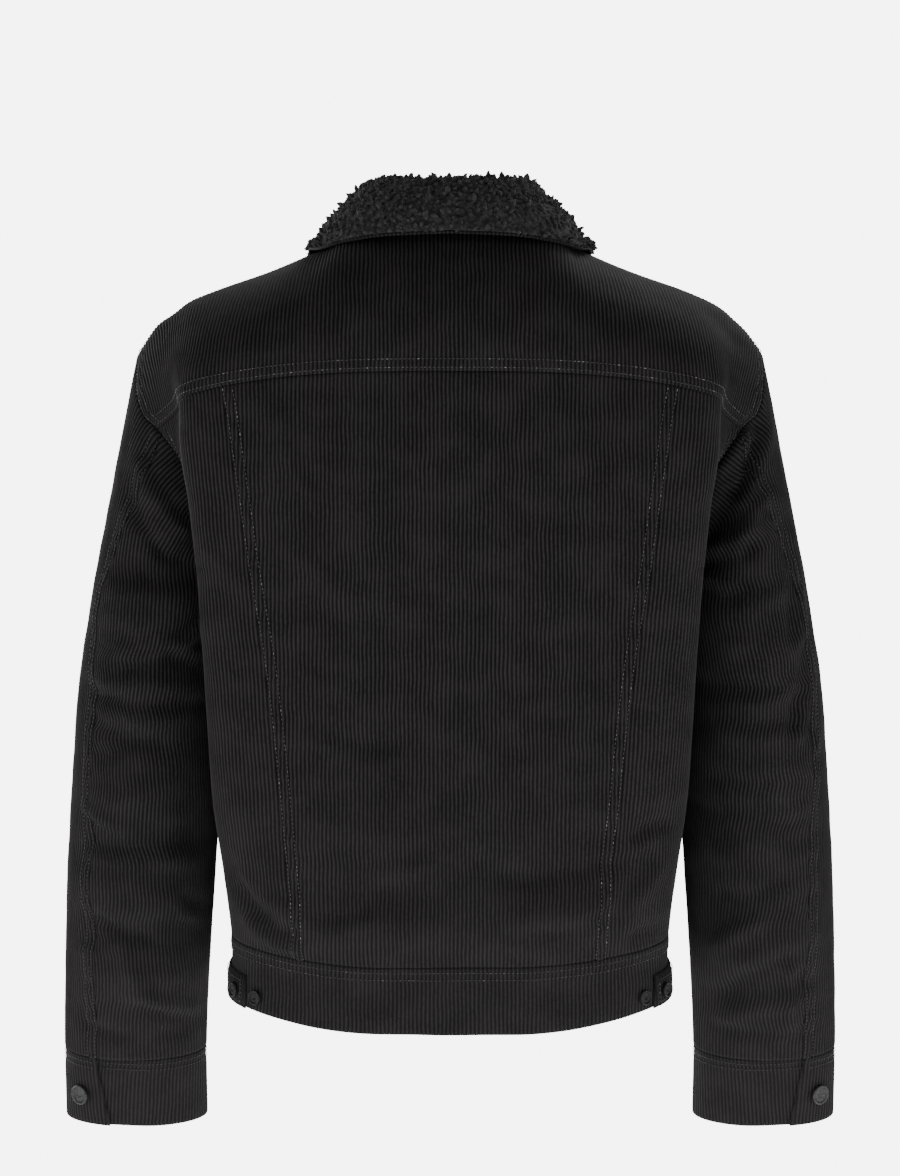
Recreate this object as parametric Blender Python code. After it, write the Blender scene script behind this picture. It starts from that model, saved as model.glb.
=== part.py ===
"""A corduroy trucker jacket with a sherpa collar, filled out as if worn, with nobody in it.

Metres. +Z is up, +Y is the back, +X is the wearer's left. The origin lies between the wearer's
shoulders, where they carry the jacket. Every cloth piece is a wall of its own: its outer face is
a grid of points worked out from the tables below, and its inner face lies one wall thickness in.
"""

import math

import bmesh
import bpy
import numpy as np
from mathutils import Matrix, Vector
from mathutils.bvhtree import BVHTree

# ---------------------------------------------------------------- driving sizes

SEAM_GAP = 0.0003
BODY_WALL = 0.0042
SLEEVE_WALL = 0.0042
BAND_WALL = 0.0042
CUFF_WALL = 0.0030
STRIP_WALL = 0.0030
UNDER_COLLAR_WALL = 0.0020
SHERPA_WALL = 0.0085

ARMPIT = -0.262
BAND_SEAM = -0.571
YOKE_SEAM = -0.1092
HEM = -0.624
SIDE_Y = -0.005
HOLE_REACH = 0.060
FRONT_TURN = -0.083
PLACKET_HALF = 0.020
TAB_HEIGHT = 0.027
# How far above the band its puffed row lies, and how the rows crowd towards the armpit.
PUFF_ROW, HOLE_CROWDING = 0.020, 1.3
JACKET_BUTTON, BAND_BUTTON = 0.0083, 0.0060
# The row and the column, counted from the left piece's first, at which each button is sewn.
BUTTON_SPOTS = {"cuff": (0.87, 1.75), "tab": (0.46, 0.6), "band": (0.45, 0.6)}
FRONT_BUTTONS = (-0.577, -0.481, -0.385, -0.289, -0.193, -0.097)
NECK_POINT = math.radians(100)
NECK_SIDE, NECK_BACK, NECK_FRONT = 0.080, 0.070, 0.098
NECK_RISE, NECK_DROP = 0.012, 0.072


def table(names, *rows):
    """A table with named columns and a row for each section."""
    return dict(zip(names.split(), np.array(rows, float).T))


# Sections of the body, by their height at the centre back: the height at the side, the depth and
# half width of the back, where it turns to the side and how square that turn is, the width at the
# side seam, the place of the long back seam, and the depth and half width of the front.
TORSO = table(
    "height side depth half turn square edge seam front_depth front_half",
    (-0.624, -0.600, 0.124, 0.1728, 0.045, 0.78, 0.166, 0.1160, 0.114, 0.173),
    (-0.571, -0.553, 0.126, 0.1728, 0.045, 0.78, 0.168, 0.1165, 0.118, 0.175),
    (-0.545, -0.530, 0.136, 0.1745, 0.055, 0.75, 0.172, 0.1178, 0.126, 0.179),
    (-0.500, -0.488, 0.139, 0.1795, 0.065, 0.70, 0.175, 0.1210, 0.131, 0.183),
    (-0.455, -0.447, 0.141, 0.1848, 0.075, 0.66, 0.174, 0.1250, 0.134, 0.187),
    (-0.395, -0.391, 0.143, 0.1882, 0.085, 0.62, 0.168, 0.1305, 0.137, 0.190),
    (-0.330, -0.328, 0.146, 0.1915, 0.092, 0.58, 0.160, 0.1380, 0.139, 0.192),
    (-0.262, -0.262, 0.149, 0.1960, 0.097, 0.56, 0.165, 0.1490, 0.140, 0.192),
    (-0.215, -0.215, 0.150, 0.2010, 0.100, 0.55, 0.192, 0.1555, 0.140, 0.192),
    (-0.175, -0.182, 0.150, 0.2065, 0.102, 0.55, 0.210, 0.1610, 0.140, 0.192),
    (-0.1092, -0.156, 0.143, 0.2085, 0.100, 0.55, 0.2285, 0.1670, 0.140, 0.192),
)

# Round the left armhole, from the armpit up the back: the place, and the angle on the sleeve's
# rings that the cloth there runs down to. Spot 4 is the yoke seam, 7 the tip, 8 the shoulder seam.
ARMHOLE = table(
    "x y z angle",
    (0.1650, -0.005, -0.262, 180),
    (0.1740, 0.0330, -0.246, 152),
    (0.1920, 0.0550, -0.215, 120),
    (0.2100, 0.0620, -0.182, 85),
    (0.2285, 0.0590, -0.156, 48),
    (0.2415, 0.0510, -0.144, 32),
    (0.2475, 0.0340, -0.122, 16),
    (0.2480, 0.0080, -0.098, 0),
    (0.2460, -0.0180, -0.101, -18),
    (0.2380, -0.0500, -0.130, -50),
    (0.2200, -0.0700, -0.165, -85),
    (0.1980, -0.0700, -0.205, -118),
    (0.1780, -0.0480, -0.242, -150),
)
YOKE_SPOT, SHOULDER_SPOT, SPOTS = 4, 8, 13
# The body heights at the back whose edges are the armhole's first spots.
BACK_HOLE_HEIGHTS = (-0.262, -0.240, -0.215, -0.175, -0.1092)

# The shoulder seam, from the neck to the armhole.
SHOULDER = table(
    "x y z",
    (0.110, -0.0175, -0.0205),
    (0.138, -0.0180, -0.0330),
    (0.181, -0.0180, -0.0490),
    (0.214, -0.0180, -0.0660),
    (0.235, -0.0180, -0.0845),
)

# Rings of the left sleeve: height and place of the centre, half widths across and fore-and-aft,
# the forward lean in degrees, and how far the cloth has turned round the arm, in degrees.
SLEEVE = table(
    "z x y across along lean twist",
    (-0.300, 0.2315, 0.000, 0.0560, 0.0700, 0, -14),
    (-0.360, 0.2397, -0.004, 0.0575, 0.0710, 3, -13),
    (-0.420, 0.2435, -0.012, 0.0590, 0.0690, 8, -8),
    (-0.500, 0.2491, -0.028, 0.0598, 0.0640, 13, -1),
    (-0.580, 0.2544, -0.046, 0.0588, 0.0560, 13, 4),
    (-0.666, 0.2585, -0.0665, 0.0580, 0.0430, 8, 7),
    (-0.726, 0.2590, -0.0825, 0.0582, 0.0390, 7, 7),
)
CUFF_SEAM, CUFF_HEM = -0.666, -0.726
SLEEVE_SEAMS = (6, 20)
# The cuff strip's first angle and the step between its columns, and where its end laps over the
# start, at the cuff's top and at its bottom.
CUFF_START, CUFF_STEP, CUFF_LAP = 28, 12, (57, 70)
TAB_COLUMNS = (10, 19)
# Columns of the body's grids: the share of the yoke and of a front that ends at the neck, the
# cells across it, and the places of the side back's columns between its two seams.
YOKE_NECK_SHARE, FRONT_NECK_SHARE, NECK_CELLS = 0.42, 0.42, 5
SIDE_SHARES = (0, 0.17, 0.35, 0.48, 0.60, 0.73, 0.86, 1)

# The collar's fold line, by angle round the neck from the centre back: how far its stand leans
# in, the height of the stand's top, and where the edge of the fall lies.
COLLAR = table(
    "angle lean top x y z",
    (0, 0.008, 0.0270, 0.000, 0.1040, -0.003),
    (30, 0.011, 0.0270, 0.059, 0.0930, -0.0060),
    (60, 0.018, 0.0258, 0.0990, 0.0595, -0.0156),
    (90, 0.022, 0.0212, 0.1115, 0.0020, -0.0190),
    (120, 0.019, -0.0020, 0.106, -0.0560, -0.040),
    (150, 0.010, -0.0290, 0.086, -0.1050, -0.091),
    (166, 0.006, -0.0380, 0.060, -0.1280, -0.130),
)
ROLL = 0.006
COLLAR_CLEARANCE = 0.0053
# On the fronts the fall lies no higher than this at its edge, and this much higher at each row above.
COLLAR_FLOAT = (0.0065, 0.0045)
# A point counts as over the body where the way to it leaves the body this steeply.
FACING_SHARE = 0.7
ROLL_END = math.radians(48)
UNDER_COLLAR_SHOW = 0.0025
# A direction that no seam lies square to, by which both sides of a seam pick the same diagonal.
RIM_ORDER = Vector((1.0, 2.3, 5.1))

# The largest folds, each a soft ridge or trough along a line: the face it lies on (1 the back,
# -1 the front), the line's two ends, and the fold's half width and height. Troughs are negative.
FOLDS = table(
    "face x z end_x end_z width height",
    (1, 0.240, -0.267, 0.214, -0.264, 0.015, -0.0062),
    (1, 0.262, -0.300, 0.205, -0.306, 0.018, 0.0046),
    (1, 0.290, -0.366, 0.260, -0.407, 0.018, -0.0046),
    (1, 0.272, -0.455, 0.224, -0.431, 0.018, 0.0039),
    (1, 0.280, -0.487, 0.208, -0.479, 0.016, -0.0039),
    (1, 0.292, -0.519, 0.224, -0.539, 0.018, 0.0039),
    (1, 0.280, -0.563, 0.208, -0.555, 0.016, -0.0039),
    (1, 0.280, -0.595, 0.216, -0.603, 0.016, 0.0031),
    (1, -0.216, -0.225, -0.238, -0.191, 0.014, -0.0062),
    (1, -0.212, -0.300, -0.256, -0.327, 0.018, 0.0039),
    (1, -0.208, -0.367, -0.268, -0.376, 0.016, -0.0046),
    (1, -0.216, -0.407, -0.280, -0.431, 0.018, 0.0039),
    (1, -0.244, -0.455, -0.264, -0.475, 0.016, -0.0046),
    (1, -0.200, -0.497, -0.244, -0.483, 0.016, 0.0031),
    (1, -0.224, -0.583, -0.280, -0.559, 0.018, 0.0046),
    (1, -0.216, -0.621, -0.272, -0.603, 0.015, -0.0039),
    (1, 0.122, -0.546, 0.008, -0.537, 0.018, 0.0039),
    (1, 0.092, -0.512, 0.046, -0.508, 0.018, -0.0046),
    (1, -0.038, -0.492, -0.115, -0.479, 0.020, -0.0039),
    (1, -0.053, -0.537, -0.115, -0.528, 0.018, 0.0039),
    (1, 0.077, -0.466, 0.015, -0.460, 0.022, 0.0031),
    (1, -0.134, -0.480, -0.165, -0.460, 0.018, -0.0039),
    (1, 0.167, -0.500, 0.152, -0.528, 0.016, -0.0039),
    (-1, 0.250, -0.395, 0.205, -0.405, 0.018, -0.0046),
    (-1, 0.270, -0.430, 0.215, -0.450, 0.018, 0.0039),
    (-1, 0.260, -0.500, 0.205, -0.485, 0.018, -0.0039),
    (-1, -0.245, -0.385, -0.205, -0.400, 0.018, -0.0046),
    (-1, -0.275, -0.440, -0.220, -0.430, 0.018, 0.0039),
    (-1, -0.265, -0.490, -0.205, -0.505, 0.018, -0.0039),
    (-1, 0.130, -0.505, 0.070, -0.495, 0.020, -0.0039),
    (-1, -0.125, -0.495, -0.060, -0.507, 0.020, -0.0039),
    (-1, 0.150, -0.300, 0.110, -0.330, 0.022, -0.0031),
    (-1, -0.155, -0.310, -0.105, -0.335, 0.022, -0.0031),
)
# How far a face must turn away from the back or front before a fold on it has died out.
FOLD_TURN = 0.5

# Mesh densities
BODY_ROWS, HOLE_ROWS, YOKE_ROWS, FRONT_ROWS = 12, 6, 8, 8
CAP_ROWS, ARM_ROWS = 6, 17
COLLAR_COLUMNS = 28
CORNER_POINTS = 200

CORDUROY = ("corduroy", (0.013, 0.013, 0.014), 0.85, 0.0)
SHERPA = ("sherpa", (0.020, 0.020, 0.021), 0.95, 0.0)
METAL = ("dark_metal", (0.05, 0.05, 0.055), 0.45, 0.9)


# ---------------------------------------------------------------- curves

def through(knots, values, at):
    """A smooth curve through the values at the knots, read at other places."""
    knots, values, at = (np.asarray(each, float) for each in (knots, values, at))
    slopes = np.gradient(values, knots, axis=0)
    left = np.clip(np.searchsorted(knots, at, side="right") - 1, 0, len(knots) - 2)
    span = knots[left + 1] - knots[left]
    t = (at - knots[left]) / span
    if values.ndim > 1:
        t, span = t[..., None], span[..., None]
    lift = t * t * (3 - 2 * t)
    return (
        values[left] * (1 - lift)
        + values[left + 1] * lift
        + span * (slopes[left] * t * (1 - t) ** 2 - slopes[left + 1] * t * t * (1 - t))
    )


def smooth(t):
    t = np.clip(t, 0, 1)
    return t * t * (3 - 2 * t)


def lengths(points):
    """The distance along a line of points, at each of them."""
    return np.concatenate([[0], np.cumsum(np.linalg.norm(np.diff(points, axis=0), axis=1))])


def along(points, shares):
    """The points that lie at these shares of a line's length."""
    run = lengths(points)
    at = np.asarray(shares) * run[-1]
    return np.stack([np.interp(at, run, points[:, axis]) for axis in range(3)], axis=1)


def bezier(start, start_handle, end_handle, end, t):
    t = np.asarray(t)[:, None]
    return (
        start * (1 - t) ** 3
        + 3 * start_handle * t * (1 - t) ** 2
        + 3 * end_handle * t * t * (1 - t)
        + end * t**3
    )


# ---------------------------------------------------------------- the body's outline

def armhole(spot):
    """The armhole's line, where spots count round from the armpit, and the ring angle there."""
    order = np.arange(-2, SPOTS + 3)
    names = ("x", "y", "z", "angle")
    ring = np.stack([ARMHOLE[name][order % SPOTS] for name in names], axis=1)
    ring[:, 3] -= 360 * (order // SPOTS)
    return through(order, ring, spot)


def back_edge(height):
    """Where the back ends at this height: on the side seam, or on the armhole above it."""
    if height > ARMPIT:
        spot = through(BACK_HOLE_HEIGHTS, np.arange(YOKE_SPOT + 1), height)
        return armhole(spot)[:3]
    side, edge = (through(TORSO["height"], TORSO[name], height) for name in ("side", "edge"))
    return np.array([edge, SIDE_Y, side])


def half_outline(half, turn, depth, square, edge):
    """From the centre line round the corner to the edge, seen from above."""
    phi = np.linspace(0, math.pi / 2, CORNER_POINTS)
    s = np.linspace(0, 1, 80)[1:]
    open_end = np.clip((edge[1] + SIDE_Y) / HOLE_REACH, 0, 1)
    inward = smooth(s) * (1 - open_end) + s**2 * open_end
    x = np.concatenate([half * np.sin(phi) ** square, half + (edge[0] - half) * inward])
    y = np.concatenate([turn + (depth - turn) * np.cos(phi) ** square, turn + (edge[1] - turn) * s])
    return np.stack([x, y, np.zeros_like(x)], axis=1)


def back_line(height):
    """The back's outline at a height, and the share of it at which the long back seam lies."""
    row = {name: float(through(TORSO["height"], TORSO[name], height)) for name in TORSO}
    edge = back_edge(height)
    line = half_outline(row["half"], row["turn"], row["depth"], row["square"], edge)
    run = lengths(line)
    share = run / run[-1]
    rise = share**3 if height > ARMPIT else smooth((share - 0.2) / 0.75)
    line[:, 2] = height + (edge[2] - height) * rise
    return line, np.interp(row["seam"], line[:CORNER_POINTS, 0], share[:CORNER_POINTS])


def front_line(height):
    """The front's outline at a height, from the centre to the side seam."""
    row = {name: float(through(TORSO["height"], TORSO[name], height)) for name in TORSO}
    line = half_outline(row["front_half"], -FRONT_TURN, row["front_depth"], 0.8, (row["edge"], -SIDE_Y))
    line[:, 1] *= -1
    line[:, 2] = row["side"]
    return line


def neck(angle):
    """The neck seam, by the angle from the centre back."""
    side, back = np.sin(angle), np.cos(angle)
    y = np.where(back > 0, NECK_BACK, NECK_FRONT) * back
    z = np.where(back > 0, NECK_RISE * back, -NECK_DROP * np.abs(back) ** 1.3)
    return np.stack([NECK_SIDE * side, y, z], axis=-1)


COLLAR_END = math.pi - math.asin(PLACKET_HALF / NECK_SIDE)
FRONT_NECK_ANGLES = np.concatenate([[math.pi], np.linspace(COLLAR_END, NECK_POINT, NECK_CELLS)])
YOKE_NECK_ANGLES = np.linspace(0, NECK_POINT, NECK_CELLS + 1)


def shoulder_seam():
    ends = neck(NECK_POINT), armhole(SHOULDER_SPOT)[:3]
    knots = np.vstack([ends[0], np.stack([SHOULDER[name] for name in "xyz"], axis=1), ends[1]])
    return through(knots[:, 0], knots, np.linspace(knots[0, 0], knots[-1, 0], 100))


# ---------------------------------------------------------------- the columns of the panels


def back_shares(height, yoke_seam_share):
    """Column places of the centre back and the side back: shares of the outline's length."""
    seam = back_line(height)[1]
    at_neck = YOKE_NECK_SHARE / yoke_seam_share
    centre = np.concatenate([np.linspace(0, at_neck, NECK_CELLS + 1), np.linspace(at_neck, 1, 4)[1:]]) * seam
    side = seam + (1 - seam) * np.array(SIDE_SHARES)
    return centre, side


def back_rows(heights):
    """The centre back and side back of the left half, one row for each height."""
    yoke_seam_share = back_line(YOKE_SEAM)[1]
    centre, side = [], []
    for height in heights:
        line = back_line(height)[0]
        for grid, shares in zip((centre, side), back_shares(height, yoke_seam_share)):
            grid.append(along(line, shares))
            if grid is side:
                grid[-1][-1] = back_edge(height)
    return np.array(centre), np.array(side)


def fit_edge(grid, edge, reach):
    """Moves a grid's last column onto the edge, and those near it less and less."""
    shift = edge - grid[:, -1]
    weight = smooth((np.linspace(0, 1, grid.shape[1]) - reach) / (1 - reach))
    return grid + shift[:, None] * weight[None, :, None]


def yoke_grid(seam_row, shares):
    """The left half of the yoke, from its seam at the back to the neck and the shoulder seam."""
    steps = np.linspace(0, 1, YOKE_ROWS + 1)
    at_neck = shares <= YOKE_NECK_SHARE + 1e-9
    tops = np.empty_like(seam_row)
    tops[at_neck] = neck(NECK_POINT * shares[at_neck] / YOKE_NECK_SHARE)
    seam_share = (shares[~at_neck] - YOKE_NECK_SHARE) / (1 - YOKE_NECK_SHARE)
    tops[~at_neck] = along(shoulder_seam(), seam_share)
    columns = []
    for start, end, share in zip(seam_row, tops, shares):
        rise, reach = end[2] - start[2], start[1] - end[1]
        steep = 1 - smooth(share / YOKE_NECK_SHARE)
        start_handle = start + np.array([0.02 * (end[0] - start[0]), 0.06 * reach, 0.5 * rise])
        lift = 0.006 - (0.30 * rise + 0.006) * steep
        end_handle = end + np.array([-0.25 * (end[0] - start[0]), (0.55 - 0.2 * steep) * reach, lift])
        columns.append(bezier(start, start_handle, end_handle, end, steps))
    grid = np.stack(columns, axis=1)
    edge = armhole(np.linspace(YOKE_SPOT, SHOULDER_SPOT, YOKE_ROWS + 1))[:, :3]
    return fit_edge(grid, edge, 0.45), seam_share


def front_grid(heights, seam_share):
    """The left front, from the centre line to the side seam and armhole, and up to the shoulder."""
    neck_shares = np.linspace(0, FRONT_NECK_SHARE, NECK_CELLS + 1)
    shares = np.concatenate([neck_shares, FRONT_NECK_SHARE + (1 - FRONT_NECK_SHARE) * seam_share])
    rows = []
    for height in heights:
        line = front_line(height)
        row = along(line, shares)
        run = lengths(line)
        to_placket_edge = np.interp(PLACKET_HALF, line[:CORNER_POINTS, 0], run[:CORNER_POINTS])
        row[1] = along(line, [to_placket_edge / run[-1]])[0]
        row[-1] = back_edge(height)
        rows.append(row)
    lower = np.array(rows)
    starts = lower[-1]
    tops = np.vstack([neck(FRONT_NECK_ANGLES), along(shoulder_seam(), seam_share)])
    steps = np.linspace(0, 1, FRONT_ROWS + 1)
    columns = []
    for start, end, share in zip(starts, tops, shares):
        rise, reach = end[2] - start[2], start[1] - end[1]
        steep = 1 - smooth(share / FRONT_NECK_SHARE)
        start_handle = start + np.array([0, 0.06 * reach, 0.5 * rise])
        lift = -0.004 - (0.35 * rise - 0.004) * (1 - smooth(share / (2 * FRONT_NECK_SHARE)))
        end_handle = end + np.array([-0.2 * (end[0] - start[0]), (0.6 - 0.25 * steep) * reach, lift])
        columns.append(bezier(start, start_handle, end_handle, end, steps))
    upper = np.stack(columns, axis=1)
    edge = armhole(np.linspace(SPOTS, SHOULDER_SPOT, FRONT_ROWS + 1))[:, :3]
    return np.vstack([lower, fit_edge(upper, edge, 0.5)[1:]])


# ---------------------------------------------------------------- the sleeve

def sleeve_ring(z, angles):
    """One ring of the left sleeve, at angles in degrees: 0 is outward and 90 is back."""
    row = {name: through(-SLEEVE["z"], SLEEVE[name], -z) for name in SLEEVE}
    turn, lean = np.radians(angles + row["twist"]), math.radians(row["lean"])
    back = row["along"] * np.sin(turn)
    x = row["x"] + row["across"] * np.cos(turn)
    return np.stack([x, row["y"] + back * math.cos(lean), z - back * math.sin(lean)], axis=1)


def sleeve_grid(hole, angles):
    """The left sleeve, from the cuff seam up to the armhole. Its first and last column are the same."""
    first, second = sleeve_ring(SLEEVE["z"][0], angles), sleeve_ring(SLEEVE["z"][0] - 0.02, angles)
    turn = np.radians(angles)[:, None]
    leave = np.hstack([0.55 - 0.35 * np.cos(turn), 0.3 * np.sin(turn), -0.7 - 0.25 * np.cos(turn)])
    arrive = (second - first) / np.linalg.norm(second - first, axis=1)[:, None]
    reach = 0.36 * np.linalg.norm(first - hole, axis=1)[:, None]
    steps = np.linspace(0, 1, CAP_ROWS + 1)[:-1]
    cap = [
        bezier(start, start + out * far, end - into * far, end, steps)
        for start, out, far, end, into in zip(hole, leave, reach, first, arrive)
    ]
    arm = [sleeve_ring(z, angles) for z in np.linspace(SLEEVE["z"][0], CUFF_SEAM, ARM_ROWS + 1)]
    return np.vstack([np.stack(cap, axis=1), np.array(arm)])[::-1]


def cuff_grid():
    """The left cuff: a strip once round the wrist, whose end laps over its start at the back."""
    grid = []
    for z in np.linspace(CUFF_HEM, CUFF_SEAM, 3):
        lap = 360 + np.interp(CUFF_SEAM - z, (0, CUFF_SEAM - CUFF_HEM), CUFF_LAP)
        once_round = np.arange(CUFF_START, CUFF_START + 361, CUFF_STEP)
        angles = np.concatenate([once_round, np.linspace(once_round[-1], lap, 4)[1:]])
        ring = sleeve_ring(z, angles - through(-SLEEVE["z"], SLEEVE["twist"], -z))
        out = ring - sleeve_ring(z, np.arange(0, 360, 30)).mean(axis=0)
        out /= np.linalg.norm(out, axis=1)[:, None]
        under = 1 - smooth((angles - CUFF_LAP[1] - 6) / 40)
        grid.append(ring - out * under[:, None] * (CUFF_WALL + 2 * SEAM_GAP))
    return np.array(grid)[:, ::-1]


def in_ring_plane(normals, z):
    """The normals laid into the plane of the sleeve's ring at this height."""
    lean = math.radians(through(-SLEEVE["z"], SLEEVE["lean"], -z))
    down = np.array([0, -math.sin(lean), -math.cos(lean)])
    flat = normals - (normals @ down)[..., None] * down
    return flat / np.linalg.norm(flat, axis=-1)[..., None]


# ---------------------------------------------------------------- the collar

def collar_foot(angle):
    """The neck edge of the panels, which runs straight from one of their points to the next."""
    angles = np.concatenate([YOKE_NECK_ANGLES, FRONT_NECK_ANGLES[-2::-1]])
    places = neck(angles)
    return np.array([np.interp(angle, angles, places[:, axis]) for axis in range(3)])


def collar_column(angle):
    """The collar's line from the neck seam up the stand, over the roll and down to the edge."""
    turned = math.degrees(angle)
    row = {name: float(through(COLLAR["angle"], COLLAR[name], turned)) for name in COLLAR}
    foot, spot = collar_foot(angle), neck(angle)
    out = np.array([spot[0] / NECK_SIDE**2, spot[1] / (NECK_BACK if spot[1] > 0 else NECK_FRONT) ** 2, 0])
    out /= np.linalg.norm(out)
    foot = foot - out * (UNDER_COLLAR_WALL + SEAM_GAP / 2) + np.array([0, 0, 2 * SEAM_GAP])
    top = np.array([*(foot - out * row["lean"])[:2], row["top"]])
    stand = [foot + (top - foot) * share for share in (0, 0.33, 0.67)]
    up = np.array([0, 0, 1])
    arc = np.linspace(math.pi, ROLL_END, 5)
    roll = [top + ROLL * (out * (1 + math.cos(a)) + up * math.sin(a)) for a in arc]
    edge = np.array([row["x"], row["y"], row["z"]])
    span = np.linalg.norm(edge - roll[-1])
    tangent = out * math.sin(ROLL_END) - up * math.cos(ROLL_END)
    straight = (edge - roll[-1]) / span
    steps = np.append(np.linspace(0, 1 - UNDER_COLLAR_SHOW / span, 6)[1:], 1)
    fall = bezier(roll[-1], roll[-1] + tangent * span * 0.3, edge - straight * span * 0.3, edge, steps)
    return np.vstack([stand, roll, fall])


def collar_grid(ground):
    """The face between the sherpa and the under collar, resting on the body where it comes near."""
    grid = []
    for angle in np.linspace(-COLLAR_END, COLLAR_END, COLLAR_COLUMNS + 1):
        column = collar_column(abs(angle))
        column[:, 0] *= math.copysign(1, angle)
        for index in range(6, len(column)):
            place, normal, _, distance = ground.find_nearest(Vector(column[index]))
            clear = np.dot(column[index] - np.array(place), np.array(normal))
            if abs(clear) > FACING_SHARE * distance:
                most = COLLAR_FLOAT[0] + COLLAR_FLOAT[1] * (len(column) - 1 - index)
                rest = clear if abs(angle) < NECK_POINT else min(clear, most)
                column[index] += np.array(normal) * (max(rest, COLLAR_CLEARANCE) - clear)
        grid.append(column)
    return np.stack(grid, axis=1)


# ---------------------------------------------------------------- walls

def mirrored(grid):
    """The same grid on the other side, with its columns in the opposite order."""
    return grid[:, ::-1] * np.array([-1, 1, 1])


def cell_normals(grid):
    return np.cross(grid[1:, 1:] - grid[:-1, :-1], grid[:-1, 1:] - grid[1:, :-1])


def keys(grid):
    return map(tuple, np.round(grid, 6).reshape(-1, 3) + 0.0)


def normal_sums(grids):
    """The faces' normals, added up at each place where the grids have a point."""
    total = {}
    for grid in grids:
        cells = cell_normals(grid)
        sums = np.zeros_like(grid)
        for row, column in ((0, 0), (0, 1), (1, 0), (1, 1)):
            sums[row : row + cells.shape[0], column : column + cells.shape[1]] += cells
        for key, normal in zip(keys(grid), sums.reshape(-1, 3)):
            total[key] = total.get(key, 0) + normal
    return total


def normals_at(grid, total):
    """The unit normals at a grid's points, shared by the pieces that meet there."""
    found = np.array([total[key] for key in keys(grid)])
    return (found / np.linalg.norm(found, axis=1)[:, None]).reshape(grid.shape)


def folded(grid, normals):
    """The grid with the folds raised or sunk along its normals."""
    lift = np.zeros(grid.shape[:2])
    place = grid[..., ::2]
    for face, x, z, end_x, end_z, width, height in np.stack(list(FOLDS.values()), axis=1):
        start, run = np.array([x, z]), np.array([end_x - x, end_z - z])
        share = np.clip((place - start) @ run / (run @ run), 0, 1)
        away = np.linalg.norm(place - start - share[..., None] * run, axis=-1)
        lift += height * np.exp(-((away / width) ** 2)) * smooth(face * normals[..., 1] / FOLD_TURN)
    return grid + normals * lift[..., None]


def eased(grid, distance):
    """The grid with each of its four borders drawn in by a distance."""
    grid = grid.copy()
    for _ in range(2):
        for border, inner in ((0, 1), (-1, -2)):
            step = grid[inner] - grid[border]
            length = np.linalg.norm(step, axis=1)[:, None]
            grid[border] += step / np.maximum(length, 1e-9) * distance
        grid = grid.transpose(1, 0, 2).copy()
    return grid


def wall_mesh(name, outer, inner):
    """A closed wall between two grids, whose rows crossed with their columns point out of the wall.

    Every cell is split on the same diagonal, so that neighbours stay apart all along a seam.
    """
    rows, columns = outer.shape[:2]
    bm = bmesh.new()
    out, back = [[[bm.verts.new(point) for point in row] for row in grid] for grid in (outer, inner)]
    for r in range(rows - 1):
        for c in range(columns - 1):
            for ring in (((r, c), (r + 1, c), (r + 1, c + 1)), ((r, c), (r + 1, c + 1), (r, c + 1))):
                bm.faces.new([out[a][b] for a, b in ring])
                bm.faces.new([back[a][b] for a, b in ring[::-1]])
    rim = [(0, c) for c in range(columns - 1)] + [(r, columns - 1) for r in range(rows - 1)]
    rim += [(rows - 1, c) for c in range(columns - 1, 0, -1)] + [(r, 0) for r in range(rows - 1, 0, -1)]
    for (r, c), (next_r, next_c) in zip(rim, rim[1:] + rim[:1]):
        ring = [out[r][c], out[next_r][next_c], back[next_r][next_c], back[r][c]]
        if ring[0].co.dot(RIM_ORDER) > ring[1].co.dot(RIM_ORDER):
            ring = ring[1:] + ring[:1]
        bm.faces.new(ring[:3])
        bm.faces.new([ring[0], ring[2], ring[3]])
    mesh = bpy.data.meshes.new(name)
    bm.to_mesh(mesh)
    bm.free()
    return mesh


def material(finish):
    name, colour, roughness, metallic = finish
    found = bpy.data.materials.get(name)
    if found:
        return found
    made = bpy.data.materials.new(name)
    made.use_nodes = True
    shader = made.node_tree.nodes["Principled BSDF"]
    shader.inputs["Base Color"].default_value = (*colour, 1)
    shader.inputs["Roughness"].default_value = roughness
    shader.inputs["Metallic"].default_value = metallic
    made.diffuse_color = (*colour, 1)
    return made


def add(name, mesh, finish, matrix=None):
    if not mesh.materials:
        mesh.materials.append(material(finish))
    piece = bpy.data.objects.new(name, mesh)
    if matrix is not None:
        piece.matrix_world = matrix
    bpy.context.scene.collection.objects.link(piece)


def add_wall(name, outer, normals, thickness):
    """A cloth piece: its outer grid, and the same grid one wall thickness in."""
    outer_face = eased(outer, SEAM_GAP / 2)
    inner_face = eased(outer - normals * thickness, SEAM_GAP / 2)
    add(name, wall_mesh(name, outer_face, inner_face), CORDUROY)


def add_strip(name, grid, normals):
    """A strip that lies on a panel: the panel's own points, moved out. Gives its outer face."""
    low, high = grid + normals * SEAM_GAP, grid + normals * (SEAM_GAP + STRIP_WALL)
    add(name, wall_mesh(name, high, low), CORDUROY)
    return high


# ---------------------------------------------------------------- buttons

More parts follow.
